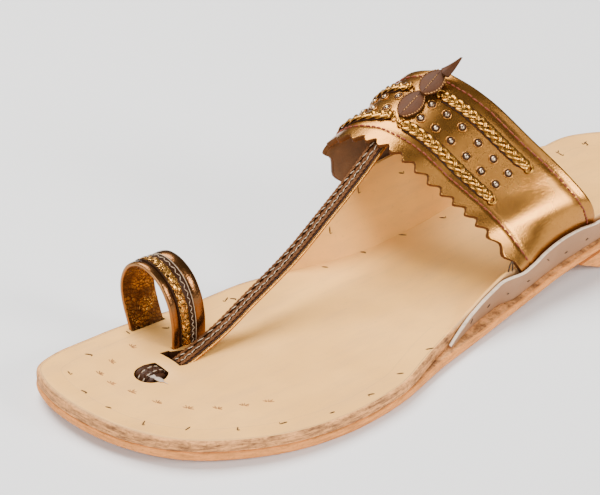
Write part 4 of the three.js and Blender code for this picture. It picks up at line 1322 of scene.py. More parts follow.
def outline_tree():
    """The insole's outline as points, to measure how far a place is from its edge."""
    tree = kdtree.KDTree(2 * (OUTLINE_STOPS + 1))
    for i in range(OUTLINE_STOPS + 1):
        share = share_of_turn(i / OUTLINE_STOPS)
        for side in (LATERAL, MEDIAL):
            y = wing_face(side, share, insole_top(share))
            tree.insert((forward(share) + end_inset(share), side.sign * y, 0),
                        2 * i + (side is MEDIAL))
    tree.balance()
    return tree


def prism(outline, low, high):
    """An upright block with the given outline, to cut an opening with."""
    work = bmesh.new()
    ring = [work.verts.new((x, y, low)) for x, y in outline]
    face = work.faces.new(ring)
    raised = bmesh.ops.extrude_face_region(work, geom=[face])
    tops = [part for part in raised["geom"] if isinstance(part, bmesh.types.BMVert)]
    bmesh.ops.translate(work, verts=tops, vec=(0, 0, high - low))
    bmesh.ops.recalc_face_normals(work, faces=work.faces)
    return work


# How far up each leg its slot in the insole reaches, and how far the notch drifts at its rear
RING_SLOT_TO = (0.05, 0.972)
NOTCH_DRIFT = 0.0013


def box_outline(x0, x1, y0, y1):
    return [(x0, y0), (x1, y0), (x1, y1), (x0, y1)]


HOLE_SIDES = 40


def hole_outline():
    """The front hole is a D with its straight side towards the slit."""
    radius = HOLE_DIAMETER / 2
    points = []
    for i in range(HOLE_SIDES):
        angle = -math.pi + math.tau * (i + 0.5) / HOLE_SIDES
        points.append((HOLE.x + max(-HOLE_FLAT * radius, radius * math.cos(angle)),
                       HOLE.y + radius * math.sin(angle)))
    return points


def ring_slot_outline(end):
    """The slot that a leg of the ring stands in, cut close round it."""
    width = sizes().ring_width
    faces = []
    for along in (end, RING_SLOT_TO[end]):
        faces += [ring_point(along, 0.5, lift, width).y for lift in (SNUG, -RING_THICKNESS - SNUG)]
    centres = [ring_centre(end), ring_centre(RING_SLOT_TO[end])]
    reach = width / 2 + SNUG
    return box_outline(min(centres) - reach, max(centres) + reach, min(faces), max(faces))


def notch_outline():
    """Room for the strap behind the slit, open on its inner side towards the slit."""
    strap = strap_centre(0)
    half = sizes().strap_width / 2
    rear = SLIT.x - NOTCH_LENGTH
    lean = STRAP_SIDEWAYS.x * half
    return [(rear + lean, strap.y - half - NOTCH_DRIFT), (SLIT.x, SLIT.y - SLIT_LENGTH / 2),
            (SLIT.x, strap.y + half), (rear + lean, strap.y + half - NOTCH_DRIFT)]


def cut_openings(piece):
    """Cuts the slit, the notch behind it, the D hole and the ring's slots out of the insole. Their
    cut walls take dark brown leather as painted shade inside the openings.
    """
    low = insole_foot(SLIT_AT[0]) - INSOLE_THICKNESS
    high = insole_top(SLIT_AT[0]) + 3 * INSOLE_THICKNESS
    half = SLIT_LENGTH / 2
    strap_edge = strap_centre(0).y + sizes().strap_width / 2 + SNUG
    outlines = [
        box_outline(SLIT.x - SLIT_WIDTH / 2, SLIT.x + SLIT_WIDTH / 2, SLIT.y - half, strap_edge),
        notch_outline(),
        hole_outline(),
        ring_slot_outline(0),
        ring_slot_outline(1),
    ]
    cutters = []
    for outline in outlines:
        # The cutters' dark brown leather passes on to the cut walls: painted shade inside the
        # openings.
        mesh = new_mesh("cutter", prism(outline, low, high), [brown_leather()])
        cutter = new_object("cutter", mesh)
        cut = piece.modifiers.new("Opening", "BOOLEAN")
        cut.object = cutter
        cut.solver = "EXACT"
        cut.operation = "DIFFERENCE"
        cut.material_mode = "TRANSFER"
        cutters.append(cutter)
    keep_modified(piece)
    for cutter in cutters:
        mesh = cutter.data
        bpy.data.objects.remove(cutter)
        bpy.data.meshes.remove(mesh)


def keep_modified(piece):
    """Puts the modifiers' result in the piece's own mesh."""
    graph = bpy.context.evaluated_depsgraph_get()
    shaped = bpy.data.meshes.new_from_object(piece.evaluated_get(graph), depsgraph=graph)
    piece.modifiers.clear()
    old = piece.data
    piece.data = shaped
    bpy.data.meshes.remove(old)


EAR_ROWS = 110
EAR_ROUNDING = 0.4  # the most of an ear's height that its rounded edges take up


def ear_face(side, share, z):
    """The outer face of an ear, as a distance from the long axis."""
    return wing_face(side, share, z) + (ear_gap(side, share) + EAR_THICKNESS * SPREAD)


def build_ear(side, name):
    """An ear stands on the outsole outside the insole's wing."""
    first = side.ear_table[0][0]
    last = side.ear_table[-1][0]
    section = strip_section(spread(8), EAR_THICKNESS * SPREAD, sizes().leather_edge)

    def place(row, up, shift, lift):
        share = blend(first, last, row / EAR_ROWS)
        foot = insole_foot(share)
        height = side.ear(share) * side.ear_height
        most = EAR_ROUNDING * height
        z = blend(foot, foot + height, up) + max(-most, min(shift, most))
        return Vector((forward(share), side.sign * (ear_face(side, share, z) + lift), z))

    work = strip_piece(EAR_ROWS, section, place)
    materials = [ear_leather(), ear_edge_leather(), ear_leather()]
    return finished(work, f"{name}_leather", materials, [name], SHARP)


# Band

# The pinked part of the front edge, and the plain cells before and after it
TEETH_FROM = 0.10
TEETH_TO = 0.885
TOOTH_CELLS = 8
TOOTH_REACH = 0.09
PLAIN_CELLS = 14


def band_stations():
    """Places along the band, so cut that each tooth has its point and its dent on a station."""
    teeth = round(band_length(0, TEETH_FROM, TEETH_TO) / sizes().tooth_pitch)
    stations = [(TEETH_FROM * i / PLAIN_CELLS, 0.0) for i in range(PLAIN_CELLS)]
    count = teeth * TOOTH_CELLS
    for i in range(count + 1):
        wave = abs((i / TOOTH_CELLS) % 1 * 2 - 1)
        stations.append((blend(TEETH_FROM, TEETH_TO, i / count), smooth(1 - wave)))
    stations += [(blend(TEETH_TO, 1, (i + 1) / PLAIN_CELLS), 0.0) for i in range(PLAIN_CELLS)]
    return stations


def band_across(along, share, shift, tooth):
    """A section's share across the band, from the tip of the pinked edge there."""
    width = band_width(along)
    front = -tooth * sizes().tooth_depth / width
    return share + front * max(0, 1 - share / TOOTH_REACH) + shift / width


# The two seams: their share across the band, from where and to where along it
SEAMS = [(0.13, 0.085, 0.9), (0.9, 0.08, 0.9)]
SEAM_GROOVE = 0.00022
SEAM_SUNK = 0.0001
SEAM_WANDER = 0.00016
STITCH_COVER = 0.93
BAND_SHARES = [0.012, 0.03, 0.06, 0.09, 0.115, 0.13, 0.145, 0.19, 0.26, 0.34, 0.42, 0.5, 0.58, 0.66,
               0.74, 0.82, 0.885, 0.9, 0.915, 0.95, 0.98]


def build_band():
    """The instep band, pinked in front, with a groove for each seam."""
    stations = band_stations()
    section = strip_section(BAND_SHARES, BAND_THICKNESS, sizes().leather_edge / 2)
    grooves = [seam[0] for seam in SEAMS]

    def place(row, share, shift, lift):
        along, tooth = stations[row]
        pressed = SEAM_GROOVE if share in grooves and lift == 0 else 0
        return band_point(along, band_across(along, share, shift, tooth), lift - pressed)

    work = strip_piece(len(stations) - 1, section, place)
    materials = [bronze_foil(), strand_leather(), lining_leather()]
    return finished(work, "band_leather", materials, ["upper_straps"], SHARP)


def build_band_seams():
    """Red-brown seams near both edges of the band: rows of stitches, not quite straight."""
    chance = random.Random(7)
    work = bmesh.new()
    detail = sizes()
    for across, start, end in SEAMS:
        count = max(2, round(band_length(across, start, end) / detail.seam_stitch))
        for i in range(count):
            first, last = i / count, min(1, (i + STITCH_COVER) / count)
            points = []
            for share in (first, last):
                along = blend(start, end, share)
                aside = chance.uniform(-SEAM_WANDER, SEAM_WANDER)
                points.append(band_point(along, across + aside / band_width(along), -SEAM_SUNK))
            middle = blend(start, end, (first + last) / 2)
            add_stitch(work, *points, band_normal(round(middle, 6), across), detail.seam_thread)
    return finished(work, "band_seams", [seam_thread()])


BRAID_THICKNESS = 0.0007


def braid_strands(point_at, up_at, length, width, pitch, thickness, strand_share=0.44, cells=14):
    """Three flat strands plaited over and under one another, along a path over the leather."""
    turns = max(2, round(length / pitch))
    rows = turns * cells
    sway = width * (1 - strand_share) / 2
    strands = []
    for strand in range(3):
        points = []
        ups = []
        for row in range(rows + 1):
            share = row / rows
            phase = math.tau * (turns * share + strand / 3)
            lift = thickness * (0.95 + 0.5 * math.sin(2 * phase))
            points.append(point_at(share, sway * math.sin(phase), lift))
            ups.append(up_at(share))
        strands.append(tube(points, ups, width * strand_share, thickness * 0.9))
    return strands


# A braid on the band: its end loops, and the flat dark strip under it, which is painted shade
# between and beside its strands
PLAIT_SHARE = 0.34
PLAIT_NARROWS = 0.0025
BRAID_LOOP_STOPS = 12
BRAID_LOOP_REACH = 0.36
BRAID_LOOP_SPREAD = 0.3
BRAID_LOOP_LIFT = 0.0005
BRAID_LOOP_STRAND = (0.0009, 0.0008)
BRAID_SHADE_STRIP_ROWS = 60
BRAID_SHADE_STRIP_WIDTH = 1.02
BRAID_SHADE_STRIP_LIFT = 0.00035
BRAID_SHADE_STRIP = (0.0005, 0.0001)  # thickness and rounding


def build_braid(name, start, end):
    """A gold plait on a dark strip of painted shade, with a loop at each end."""
    detail = sizes()
    length = band_length((start[1] + end[1]) / 2, start[0], end[0])
    width = detail.braid_width

    def spot(share):
        return blend(start[0], end[0], share), blend(start[1], end[1], share)

    def point_at(share, aside, lift):
        along, across = spot(share)
        narrow = smooth(min(share, 1 - share) * length / PLAIT_NARROWS)
        shifted = across + aside * (0.35 + 0.65 * narrow) / band_width(along)
        return band_point(along, shifted, CLEARANCE / 3 + lift)

    def up_at(share):
        along, across = spot(share)
        return band_normal(round(along, 6), round(across, 6))

    strands = braid_strands(point_at, up_at, length, width, detail.braid_pitch, BRAID_THICKNESS,
                            PLAIT_SHARE)
    ahead = (point_at(1, 0, 0) - point_at(0, 0, 0)).normalized()
    for share, outward in ((0.0, -1), (1.0, 1)):
        aside = up_at(share).cross(ahead).normalized()
        points = []
        for i in range(BRAID_LOOP_STOPS + 1):
            angle = math.pi * i / BRAID_LOOP_STOPS
            forth = ahead * (outward * math.sin(angle) * width * BRAID_LOOP_REACH)
            sideways = aside * (math.cos(angle) * width * BRAID_LOOP_SPREAD)
            points.append(point_at(share, 0, BRAID_LOOP_LIFT) + forth + sideways)
        strands.append(tube(points, [up_at(share)] * len(points), *BRAID_LOOP_STRAND))
    finished(joined(strands), f"{name}_plait", [gold_foil()], [name])

    # The dark strip under the plait is painted shade: it darkens the gaps between the strands and
    # the band beside them.
    def base_place(row, share, shift, lift):
        sideways = (share - 0.5) * width * BRAID_SHADE_STRIP_WIDTH + shift
        return point_at(row / BRAID_SHADE_STRIP_ROWS, sideways, lift + BRAID_SHADE_STRIP_LIFT)

    section = strip_section(spread(3), *BRAID_SHADE_STRIP)
    base = strip_piece(BRAID_SHADE_STRIP_ROWS, section, base_place, [0] * len(section))
    finished(base, f"{name}_shade_strip", [brown_leather()])


def turned_shape(work, profile, steps, matrix, kind):
    """Turns a profile of radius and height round its axis, in one material."""
    verts = [work.verts.new((radius, 0, height)) for radius, height in profile]
    edges = [work.edges.new(pair) for pair in zip(verts, verts[1:])]
    before = set(work.faces)

    def made():
        faces = [face for face in work.faces if face not in before]
        return faces, list({vert for face in faces for vert in face.verts})

    bmesh.ops.spin(work, geom=verts + edges, cent=(0, 0, 0), axis=(0, 0, 1), dvec=(0, 0, 0),
                   angle=math.tau, steps=steps, use_merge=True, use_duplicate=False)
    bmesh.ops.remove_doubles(work, verts=made()[1], dist=CLOSE)
    faces, corners = made()
    bmesh.ops.recalc_face_normals(work, faces=faces)
    for face in faces:
        face.material_index = kind
        face.smooth = True
    bmesh.ops.transform(work, verts=corners, matrix=matrix)


# A stud's parts: radius as a share of the stud's, and height; with their steps round
STUD_RIM = [(0, -0.0002), (1, -0.0002), (0.98, 0.00022), (0.9, 0.00036), (0.8, 0.00028),
            (0.74, 0.00008)]
STUD_MOAT = [(0.74, 0.00008), (0.5, 0.00004), (0, 0.00004)]
STUD_BEAD = [(0, 0), (0.5, 0.00002), (0.52, 0.00025), (0.44, 0.00055), (0.25, 0.00078),
             (0, 0.00086)]
STUD_PARTS = [(STUD_RIM, 24), (STUD_MOAT, 24), (STUD_BEAD, 16)]


def build_stud(name, along, across):
    """A silver bead in an embossed bronze ring."""
    radius = sizes().stud_diameter / 2
    up = band_normal(round(along, 6), round(across, 6))
    turned = up.to_track_quat("Z", "Y").to_matrix().to_4x4()
    matrix = Matrix.Translation(band_point(along, across, 0)) @ turned
    work = bmesh.new()
    for kind, (profile, steps) in enumerate(STUD_PARTS):
        scaled = [(radius * share, height) for share, height in profile]
        turned_shape(work, scaled, steps, matrix, kind)
    materials = [bronze_foil(), brown_leather(), stud_metal()]
    return finished(work, f"{name}_set", materials, [name])


def build_studs():
    for row, start, end, count in STUD_ROWS:
        for i in range(count):
            along, across = (blend(start[axis], end[axis], i / (count - 1)) for axis in (0, 1))
            build_stud(f"{row}_{i + 1}", along, across)


LEAF_THICKNESS = 0.0012
LEAF_LAYER = LEAF_THICKNESS + CLEARANCE
LEAF_TIP_HEIGHT = 0.0045
LEAF_TIP_WIDTH = 0.0046
LEAVES = [
    # name, start along and across, end along and across, lift, rise at the end
    ("leaf_front", (0.611, 0.32), (0.629, 0.67), CLEARANCE, 0.0),
    ("leaf_back", (0.616, 0.625), (0.634, 0.95), CLEARANCE + LEAF_LAYER, 0.0),
    ("leaf_tip", (0.618, 0.89), (0.607, 1.10), CLEARANCE + 2 * LEAF_LAYER, LEAF_TIP_HEIGHT),
]

LEAF_BEAD = 0.00088
LEAF_ROWS = 80
LEAF_SHARP = 60
LEAF_SHARES = [0.08, 0.16, 0.3, 0.42, 0.485, 0.5, 0.515, 0.58, 0.7, 0.84, 0.92]
LEAF_CROWN = 0.00045
LEAF_CREASE = 0.0002
LEAF_STEP = 0.02
RIM_STOPS = 64
VEIN_STOPS = 6
RIM_LIFT = LEAF_THICKNESS * 0.72
RIM_REACH = 0.96
RIM_THREAD = LEAF_BEAD * 0.62
VEIN_LIFT = LEAF_THICKNESS * 1.02
VEIN_THREAD = 0.00032


def leaf_half(rise, share):
    """Half a leaf's width: an oval where it lies flat, and a slim thorn where it rises."""
    if rise:
        return LEAF_TIP_WIDTH / 2 * smooth(share * 6) ** 0.5 * (1 - share) ** 0.8
    return sizes().leaf_width / 2 * math.sin(math.pi * share) ** 0.55


def leaf_path(start, end, lift, rise, share):
    along = blend(start[0], end[0], share)
    across = blend(start[1], end[1], share)
    return band_point(along, across, lift + rise * share * share)


def leaf_frame(start, end, lift, rise, share):
    """A place on a leaf's middle line, and the directions sideways and up there."""
    across = min(1, blend(start[1], end[1], share))
    normal = band_normal(round(blend(start[0], end[0], share), 6), round(across, 6))
    ahead = leaf_path(start, end, lift, rise, min(1, share + LEAF_STEP))
    behind = leaf_path(start, end, lift, rise, max(0, share - LEAF_STEP))
    step = (ahead - behind).normalized()
    sideways = normal.cross(step).normalized()
    return leaf_path(start, end, lift, rise, share), sideways, step.cross(sideways).normalized()


def build_leaf(name, start, end, lift, rise):
    """A leaf of brown foil, with a crease along its middle."""
    thickness = LEAF_THICKNESS * 0.7
    section = strip_section(LEAF_SHARES, thickness, 0.00015)

    def place(row, mid, shift, drop):
        share = row / LEAF_ROWS
        centre, sideways, over = leaf_frame(start, end, lift, rise, share)
        half = leaf_half(rise, share)
        aside = (2 * mid - 1) * half + max(-half, min(half, shift))
        raised = 0.0
        if drop == 0:
            raised = LEAF_CROWN * (1 - (2 * mid - 1) ** 2) - (LEAF_CREASE if mid == 0.5 else 0)
        return centre + sideways * aside + over * (thickness + drop + raised)

    materials = [leaf_foil(), leaf_foil(), lining_leather()]
    return finished(strip_piece(LEAF_ROWS, section, place), f"{name}_foil", materials,
                    [name], LEAF_SHARP)


def build_leaf_rims():
    """Light beaded rims and midline threads on the leaves that lie on the band."""
    works = []
    shares = [0.02 + 0.96 * i / RIM_STOPS for i in range(RIM_STOPS + 1)]
    for _, *leaf in LEAVES[:2]:
        work = bmesh.new()
        frames = [leaf_frame(*leaf, share) for share in shares]
        for sign in (-1, 1):
            rim = [centre + sideways * (sign * leaf_half(0, share) * RIM_REACH) + over * RIM_LIFT
                   for share, (centre, sideways, over) in zip(shares, frames)]
            travelled = 0.0
            since = 0
            for i in range(1, RIM_STOPS + 1):
                travelled += (rim[i] - rim[i - 1]).length
                if travelled > LEAF_BEAD or i == RIM_STOPS:
                    add_stitch(work, rim[since], rim[i], frames[i][2], RIM_THREAD, 0.3)
                    since = i
                    travelled = 0.0
        for i in range(10, RIM_STOPS - 14, VEIN_STOPS):
            low, high = frames[i], frames[i + VEIN_STOPS]
            add_stitch(work, low[0] + low[2] * VEIN_LIFT, high[0] + high[2] * VEIN_LIFT, low[2],
                       VEIN_THREAD, 0.2)
        works.append(work)
    return finished(joined(works), "leaf_seams", [pale_foil()])


# Strap

# The trims lie on this part of the strap, a little below its upper face
STRAP_TRIM_FROM = 0.012
STRAP_TRIM_SPAN = 0.976
STRAP_SUNK = 0.00035
STRAP_ROWS = 120
STRAP_SHARES = [0.06, 0.13, 0.2, 0.25, 0.3, 0.42, 0.5, 0.58, 0.62, 0.68, 0.8, 0.87, 0.94]
STRAP_DIPS = {0.25: 0.0003, 0.3: 0.0001, 0.62: 0.0003, 0.58: 0.0001}
STRAP_BASE = (0.0012, 0.0003)  # thickness and rounding
STRAP_BASE_TOP = 0.0013
STRAP_COVER = (0.0011, 0.00028)
STRAP_COVER_INSET = 0.0003
STRAP_COVER_ASIDE = 0.0001
STRAP_CROWN = 0.00022
STRAP_CROWN_AT = 0.44
STRAP_CROWN_REACH = 0.16
STRAP_PLAITS = ((0.0, 0.27), (-0.68, 0.2), (0.6, 0.24))  # middle and width, as shares
STRAP_PLAIT = (0.0054, 0.0003, 0.5, 8)  # pitch, thickness, a strand's share, cells to a turn
STRAP_STITCH = 0.0036
STRAP_THREAD = 0.00031
STRAP_THREAD_LIFT = 0.00005
STRAP_THREAD_SWAY = 0.0001
STRAP_THREADS = ((-0.36, 0.6, 0.00035), (0.3, 0.5, 0.00028), (0.3, -0.5, -0.00028))


def strap_trim(share):
    return STRAP_TRIM_FROM + STRAP_TRIM_SPAN * share


def build_strap():
    """The strap: a bronze base, a brown cover with a low crown, fine plaits and rows of thread."""
    detail = sizes()
    half = detail.strap_width / 2

    def base_place(row, share, shift, lift):
        drop = detail.strap_thickness - STRAP_BASE_TOP
        return strap_point(row / STRAP_ROWS, (2 * share - 1) * half + shift, lift - drop)

    base = strip_piece(STRAP_ROWS, strip_section([0.1, 0.5, 0.9], *STRAP_BASE), base_place)
    finished(base, "strap_base", [bronze_foil(), bronze_foil(), lining_leather()])

    def cover_place(row, share, shift, lift):
        sideways = (2 * share - 1) * (half - STRAP_COVER_INSET) + shift - STRAP_COVER_ASIDE
        raised = 0.0
        if lift == 0:
            away = (share - STRAP_CROWN_AT) / STRAP_CROWN_REACH
            raised = STRAP_CROWN * math.exp(-away ** 2) - STRAP_DIPS.get(share, 0)
        return strap_point(row / STRAP_ROWS, sideways, lift + raised - STRAP_SUNK)

    cover = strip_piece(STRAP_ROWS, strip_section(STRAP_SHARES, *STRAP_COVER), cover_place)
    finished(cover, "strap_cover", [brown_leather()] * 3)

    length = path_length([strap_centre(i / LENGTH_STOPS) for i in range(LENGTH_STOPS + 1)])
    plaits = []
    for centre, wide in STRAP_PLAITS:
        def point_at(share, aside, lift, centre=centre):
            return strap_point(strap_trim(share), centre * half + aside, lift - STRAP_SUNK)

        plaits += braid_strands(point_at, lambda share: strap_up(strap_trim(share)), length,
                                half * 2 * wide, *STRAP_PLAIT)
    finished(joined(plaits), "strap_plait", [strand_leather()])

    work = bmesh.new()
    chance = random.Random(11)
    count = round(length / STRAP_STITCH)
    for i in range(count):
        for side, reach, slant in STRAP_THREADS:
            begun = i + 0.05 + (0.45 if side > 0 else 0) + (0.5 if reach < 0 else 0)
            start = strap_trim(begun / count)
            end = min(0.99, start + STRAP_TRIM_SPAN * abs(reach) / count)
            sway = chance.uniform(-STRAP_THREAD_SWAY, STRAP_THREAD_SWAY)
            low = strap_point(start, side * half - slant + sway, STRAP_THREAD_LIFT)
            high = strap_point(end, side * half + slant + sway, STRAP_THREAD_LIFT)
            add_stitch(work, low, high, strap_up((start + end) / 2), STRAP_THREAD, 0.1)
    finished(work, "strap_stitches", [silver_thread()])


# Toe ring

RING_ROWS = 130
RING_SHARES = [0.05, 0.13, 0.24, 0.28, 0.3, 0.33, 0.4, 0.48, 0.5, 0.62, 0.73, 0.75, 0.78, 0.81,
               0.87, 0.94]
RING_RELIEF = {0.05: 0.0001, 0.13: 0.00022, 0.24: 0.0001, 0.28: -0.0001, 0.3: -0.00035,
               0.33: -0.0003, 0.4: -0.0002, 0.48: -0.0002, 0.5: -0.0002, 0.62: -0.0001,
               0.73: -0.0002, 0.75: -0.00035, 0.78: -0.00035, 0.81: 0.0, 0.87: 0.00015,
               0.94: 0.0001}
# The columns between the strips that aren't copper: 3 is brown leather, 4 crackled gold
RING_INLAY = {0.28: 3, 0.3: 3, 0.33: 3, 0.4: 3, 0.48: 3, 0.5: 4, 0.62: 4, 0.73: 3, 0.75: 3}
RING_TRIM_FROM = 0.01
RING_TRIM_SPAN = 0.98
RING_PLAIT = (0.0098, 0.00034, 0.56, 12)  # pitch, thickness, a strand's share, cells to a turn
RING_PLAIT_AT = 0.615
RING_PLAIT_WIDTH = 0.25
RING_PLAIT_SUNK = 0.0002
RING_CORDS = ((0.305, 0.00026), (0.765, 0.0004))  # share across, diameter
RING_CORD_STOPS = 90
RING_STITCH = 0.003
ZIGZAG_AT = 0.41
ZIGZAG_SLANT = 0.035
ZIGZAG_SWAY = 0.008
ZIGZAG_FROM = 0.012
ZIGZAG_SPAN = 0.97
ZIGZAG_TO = 0.985
ZIGZAG_LIFT = 0.0001
RING_THREAD = 0.00028


def ring_up_at(along, width):
    _, (out_y, out_z) = ring_frame(along, width)
    return Vector((0, out_y, out_z))


def ring_trim(share):
    """A place along the ring for a trim, a little short of its feet."""
    return RING_TRIM_FROM + RING_TRIM_SPAN * share


def build_ring():
    """The toe ring: smooth strips, a cracked gold plait, dark zigzag work, and gold inside."""
    width = sizes().ring_width
    section = strip_section(RING_SHARES, RING_THICKNESS, 0.0003)

    def place(row, share, shift, lift):
        raised = RING_RELIEF.get(share, 0) if lift == 0 else 0
        return ring_point(row / RING_ROWS, share + shift / width, lift + raised, width)

    kinds = [RING_INLAY.get(share, 0) if lift == 0 and kind == 0 else kind
             for share, _, lift, kind in section]
    work = strip_piece(RING_ROWS, section, place, kinds)
    materials = [copper_foil(), pale_foil(), crushed_gold(), brown_leather(), crackled_gold()]
    finished(work, "ring_leather", materials, ["toe_ring"], SHARP)

    length = path_length([ring_point(i / LENGTH_STOPS, 0.5, 0, width)
                          for i in range(LENGTH_STOPS + 1)])

    def mesh_point(share, aside, lift):
        across = RING_PLAIT_AT + aside / width
        return ring_point(ring_trim(share), across, lift - RING_PLAIT_SUNK, width)

    mesh = braid_strands(mesh_point, lambda share: ring_up_at(ring_trim(share), width), length,
                         width * RING_PLAIT_WIDTH, *RING_PLAIT)
    finished(joined(mesh), "ring_gold_plait", [crackled_gold()])

    stops = [ring_trim(i / RING_CORD_STOPS) for i in range(RING_CORD_STOPS + 1)]
    cords = []
    for across, diameter in RING_CORDS:
        points = [ring_point(stop, across, 0.0, width) for stop in stops]
        ups = [ring_up_at(stop, width) for stop in stops]
        cords.append(tube(points, ups, diameter, diameter, 6))
    finished(cords[0], "ring_thread", [silver_thread()])
    finished(cords[1], "ring_cord", [brown_leather()])

    work = bmesh.new()
    chance = random.Random(5)
    count = round(length / RING_STITCH)
    for i in range(count):
        for begun, slant in ((0.0, ZIGZAG_SLANT), (0.5, -ZIGZAG_SLANT)):
            start = ZIGZAG_FROM + ZIGZAG_SPAN * (i + begun) / count
            end = start + ZIGZAG_SPAN / 2 / count
            middle = ZIGZAG_AT + chance.uniform(-ZIGZAG_SWAY, ZIGZAG_SWAY)
            low = ring_point(start, middle + slant, ZIGZAG_LIFT, width)
            high = ring_point(min(ZIGZAG_TO, end), middle - slant, ZIGZAG_LIFT, width)
            add_stitch(work, low, high, ring_up_at((start + end) / 2, width), RING_THREAD, 0.2)
    finished(work, "ring_stitches", [silver_thread()])


# Toe fittings

LOOP_THICKNESS = 0.0016
LOOP_FULLNESS = 0.6
LOOP_WIDTH = 0.0086
LOOP_OFFSET = 0.0004
LOOP_SUNK = 0.00045
LOOP_ROWS = 28
LOOP_SHARES = [0.1, 0.2, 0.35, 0.5, 0.65, 0.8, 0.9]
LOOP_NARROWS = 0.25
LOOP_PLAIT = (0.0062, 0.0006)  # pitch and thickness
LOOP_PLAIT_WIDTH = LOOP_WIDTH * 0.6
LOOP_PLAIT_SUNK = 0.0004
LOOP_STITCHES = 5
LOOP_STITCH_ROWS = (-0.1, 0.22)
LOOP_THREAD = 0.00036
LOOP_THREAD_LIFT = 0.0006
PEG_DIAMETER = 0.0021
PEG_LENGTH = 0.0088
PEG_TURN = 0.2
PEG_FORWARD = 0.0006
PEG_ROWS = 30
PEG_THINS_FROM = 0.7
PEG_THINS_IN = 0.12
PEG_END = 0.12
PEG_THICKNESS = PEG_DIAMETER * 0.4
PEG_SLIMS = 0.25


def build_loop():
    """The strap's end comes up in the front hole as a low plaited loop."""
    outer = HOLE_FLAT * HOLE_DIAMETER / 2 + CLEARANCE
    floor = outsole_top(share_at(HOLE.x)) + CLEARANCE

    def point(share, aside, lift):
        angle = math.pi * (1 - share)
        radius = outer - LOOP_SUNK + lift
        narrow = 1 - LOOP_NARROWS * (2 * share - 1) ** 2
        return Vector((HOLE.x + radius * math.cos(angle), HOLE.y - LOOP_OFFSET + aside * narrow,
                       floor + radius * math.sin(angle) ** LOOP_FULLNESS))

    def up_at(share):
        angle = math.pi * (1 - share)
        return Vector((math.cos(angle), 0, math.sin(angle)))

    def place(row, share, shift, lift):
        return point(row / LOOP_ROWS, (share - 0.5) * LOOP_WIDTH + shift, lift)

    work = strip_piece(LOOP_ROWS, strip_section(LOOP_SHARES, LOOP_THICKNESS, 0.00025), place)
    finished(work, "loop_leather", [brown_leather()] * 3, ["strap_loop"], SHARP)

    def plait_point(share, aside, lift):
        return point(0.04 + 0.92 * share, aside, lift - LOOP_PLAIT_SUNK)

    strands = braid_strands(plait_point, up_at, math.pi * outer, LOOP_PLAIT_WIDTH, *LOOP_PLAIT)
    finished(joined(strands), "loop_plait", [brown_leather()])
    stitches = bmesh.new()
    for i in range(LOOP_STITCHES):
        start = 0.06 + 0.88 * i / LOOP_STITCHES
        for aside in LOOP_STITCH_ROWS:
            low, high = (point(share, aside * LOOP_WIDTH, LOOP_THREAD_LIFT)
                         for share in (start, start + 0.13))
            add_stitch(stitches, low, high, up_at(start + 0.06), LOOP_THREAD, 0.0)
    finished(stitches, "loop_stitches", [silver_thread()])


def build_peg():
    """A flat strip of raw hide that comes off the loop and thins out to a loose end."""
    side = HOLE.y - LOOP_OFFSET
    height = insole_top(share_at(HOLE.x)) + PEG_DIAMETER * 0.35
    points = []
    for i in range(PEG_ROWS + 1):
        share = i / PEG_ROWS
        reach = share * PEG_LENGTH
        points.append(Vector((HOLE.x + PEG_FORWARD - (reach - PEG_LENGTH / 2) * math.sin(PEG_TURN),
                              side + reach * math.cos(PEG_TURN),
                              height - PEG_DIAMETER * 0.25 * share)))

    def taper(share):
        if share < PEG_THINS_FROM:
            return 1 - PEG_SLIMS * share
        thick = 1 - PEG_SLIMS * PEG_THINS_FROM
        return blend(thick, PEG_END, smooth((share - PEG_THINS_FROM) / PEG_THINS_IN))

    work = tube(points, [UPWARD] * len(points), PEG_DIAMETER, PEG_THICKNESS, 12, taper)
    finished(work, "peg_hide", [thong_leather()], ["thong_peg"], SHARP)


# Marks and stitches of the sole

MARK_SUNK = 0.00004
STAR_MIDDLE = Vector((0.12, -0.02))
STAR_ANGLES = (-1.35, -0.7, 0.0, 0.7, 1.35)
STAR_TURN = 0.12
STAR_FROM = 0.0002
STAR_REACH = (0.0015, 0.0021)
STAR_WIDTH = 0.00034
BIT_REACH = (0.0009, 0.0015)
BIT_THICK = 1.3
BIT_THIN = 0.8
# Where threads show along the two margins, how far in from the edge and how far apart
MARGIN_THREADS = [(MEDIAL, 0.05, 0.72), (LATERAL, 0.03, 0.18)]
MARGIN_INSET = 0.0065
MARGIN_PITCH = 0.014
EAR_STITCHES = 9
EAR_MARGIN = 0.03
EAR_STITCH_REACH = 0.0011
LOOSE_STOPS = 20
LOOSE_LOOP = Vector((0.0009, 0.0006, 0.0042))
LOOSE_THREAD = 0.00055


def build_star_marks():
    """Small crow's-foot punch marks round the toes, as dark slivers sunk in the bed: painted shade
    in the punched dents.
    """
    work = bmesh.new()
    chance = random.Random(3)
    for column, row in STARS_SEEN:
        spot, normal = bed_point_seen(column, row)
        heading = math.atan2(STAR_MIDDLE.y - spot.y, STAR_MIDDLE.x - spot.x)
        for angle in STAR_ANGLES:
            turned = heading + angle + chance.uniform(-STAR_TURN, STAR_TURN)
            reach = chance.uniform(*STAR_REACH)
            ray = Vector((math.cos(turned), math.sin(turned), 0))
            root = laid_on_bed(spot + ray * STAR_FROM, normal, -MARK_SUNK)
            tip = laid_on_bed(spot + ray * reach, normal, -MARK_SUNK)
            add_stitch(work, root, tip, normal, STAR_WIDTH, 0.2)
    return finished(work, "star_mark_shades", [punch_shade_leather()])


def add_thread_bit(work, spot, normal, heading, chance, thick):
    """A short bit of stitching thread that comes out of the leather, with a loose hooked end."""
    reach = chance.uniform(*BIT_REACH)
    along = (heading - normal * heading.dot(normal)).normalized()
    aside = normal.cross(along) * chance.choice((-1, 1))
    low = laid_on_bed(spot - along * reach, normal)
    high = laid_on_bed(spot + along * reach, normal)
    add_stitch(work, low, high, normal, thick * BIT_THICK, 0.1)
    if chance.random() < 0.6:
        end = laid_on_bed(high + aside * 0.0009 - along * 0.0004, normal, 0.0001)
        add_stitch(work, high, end, normal, thick * BIT_THIN, 0.0)


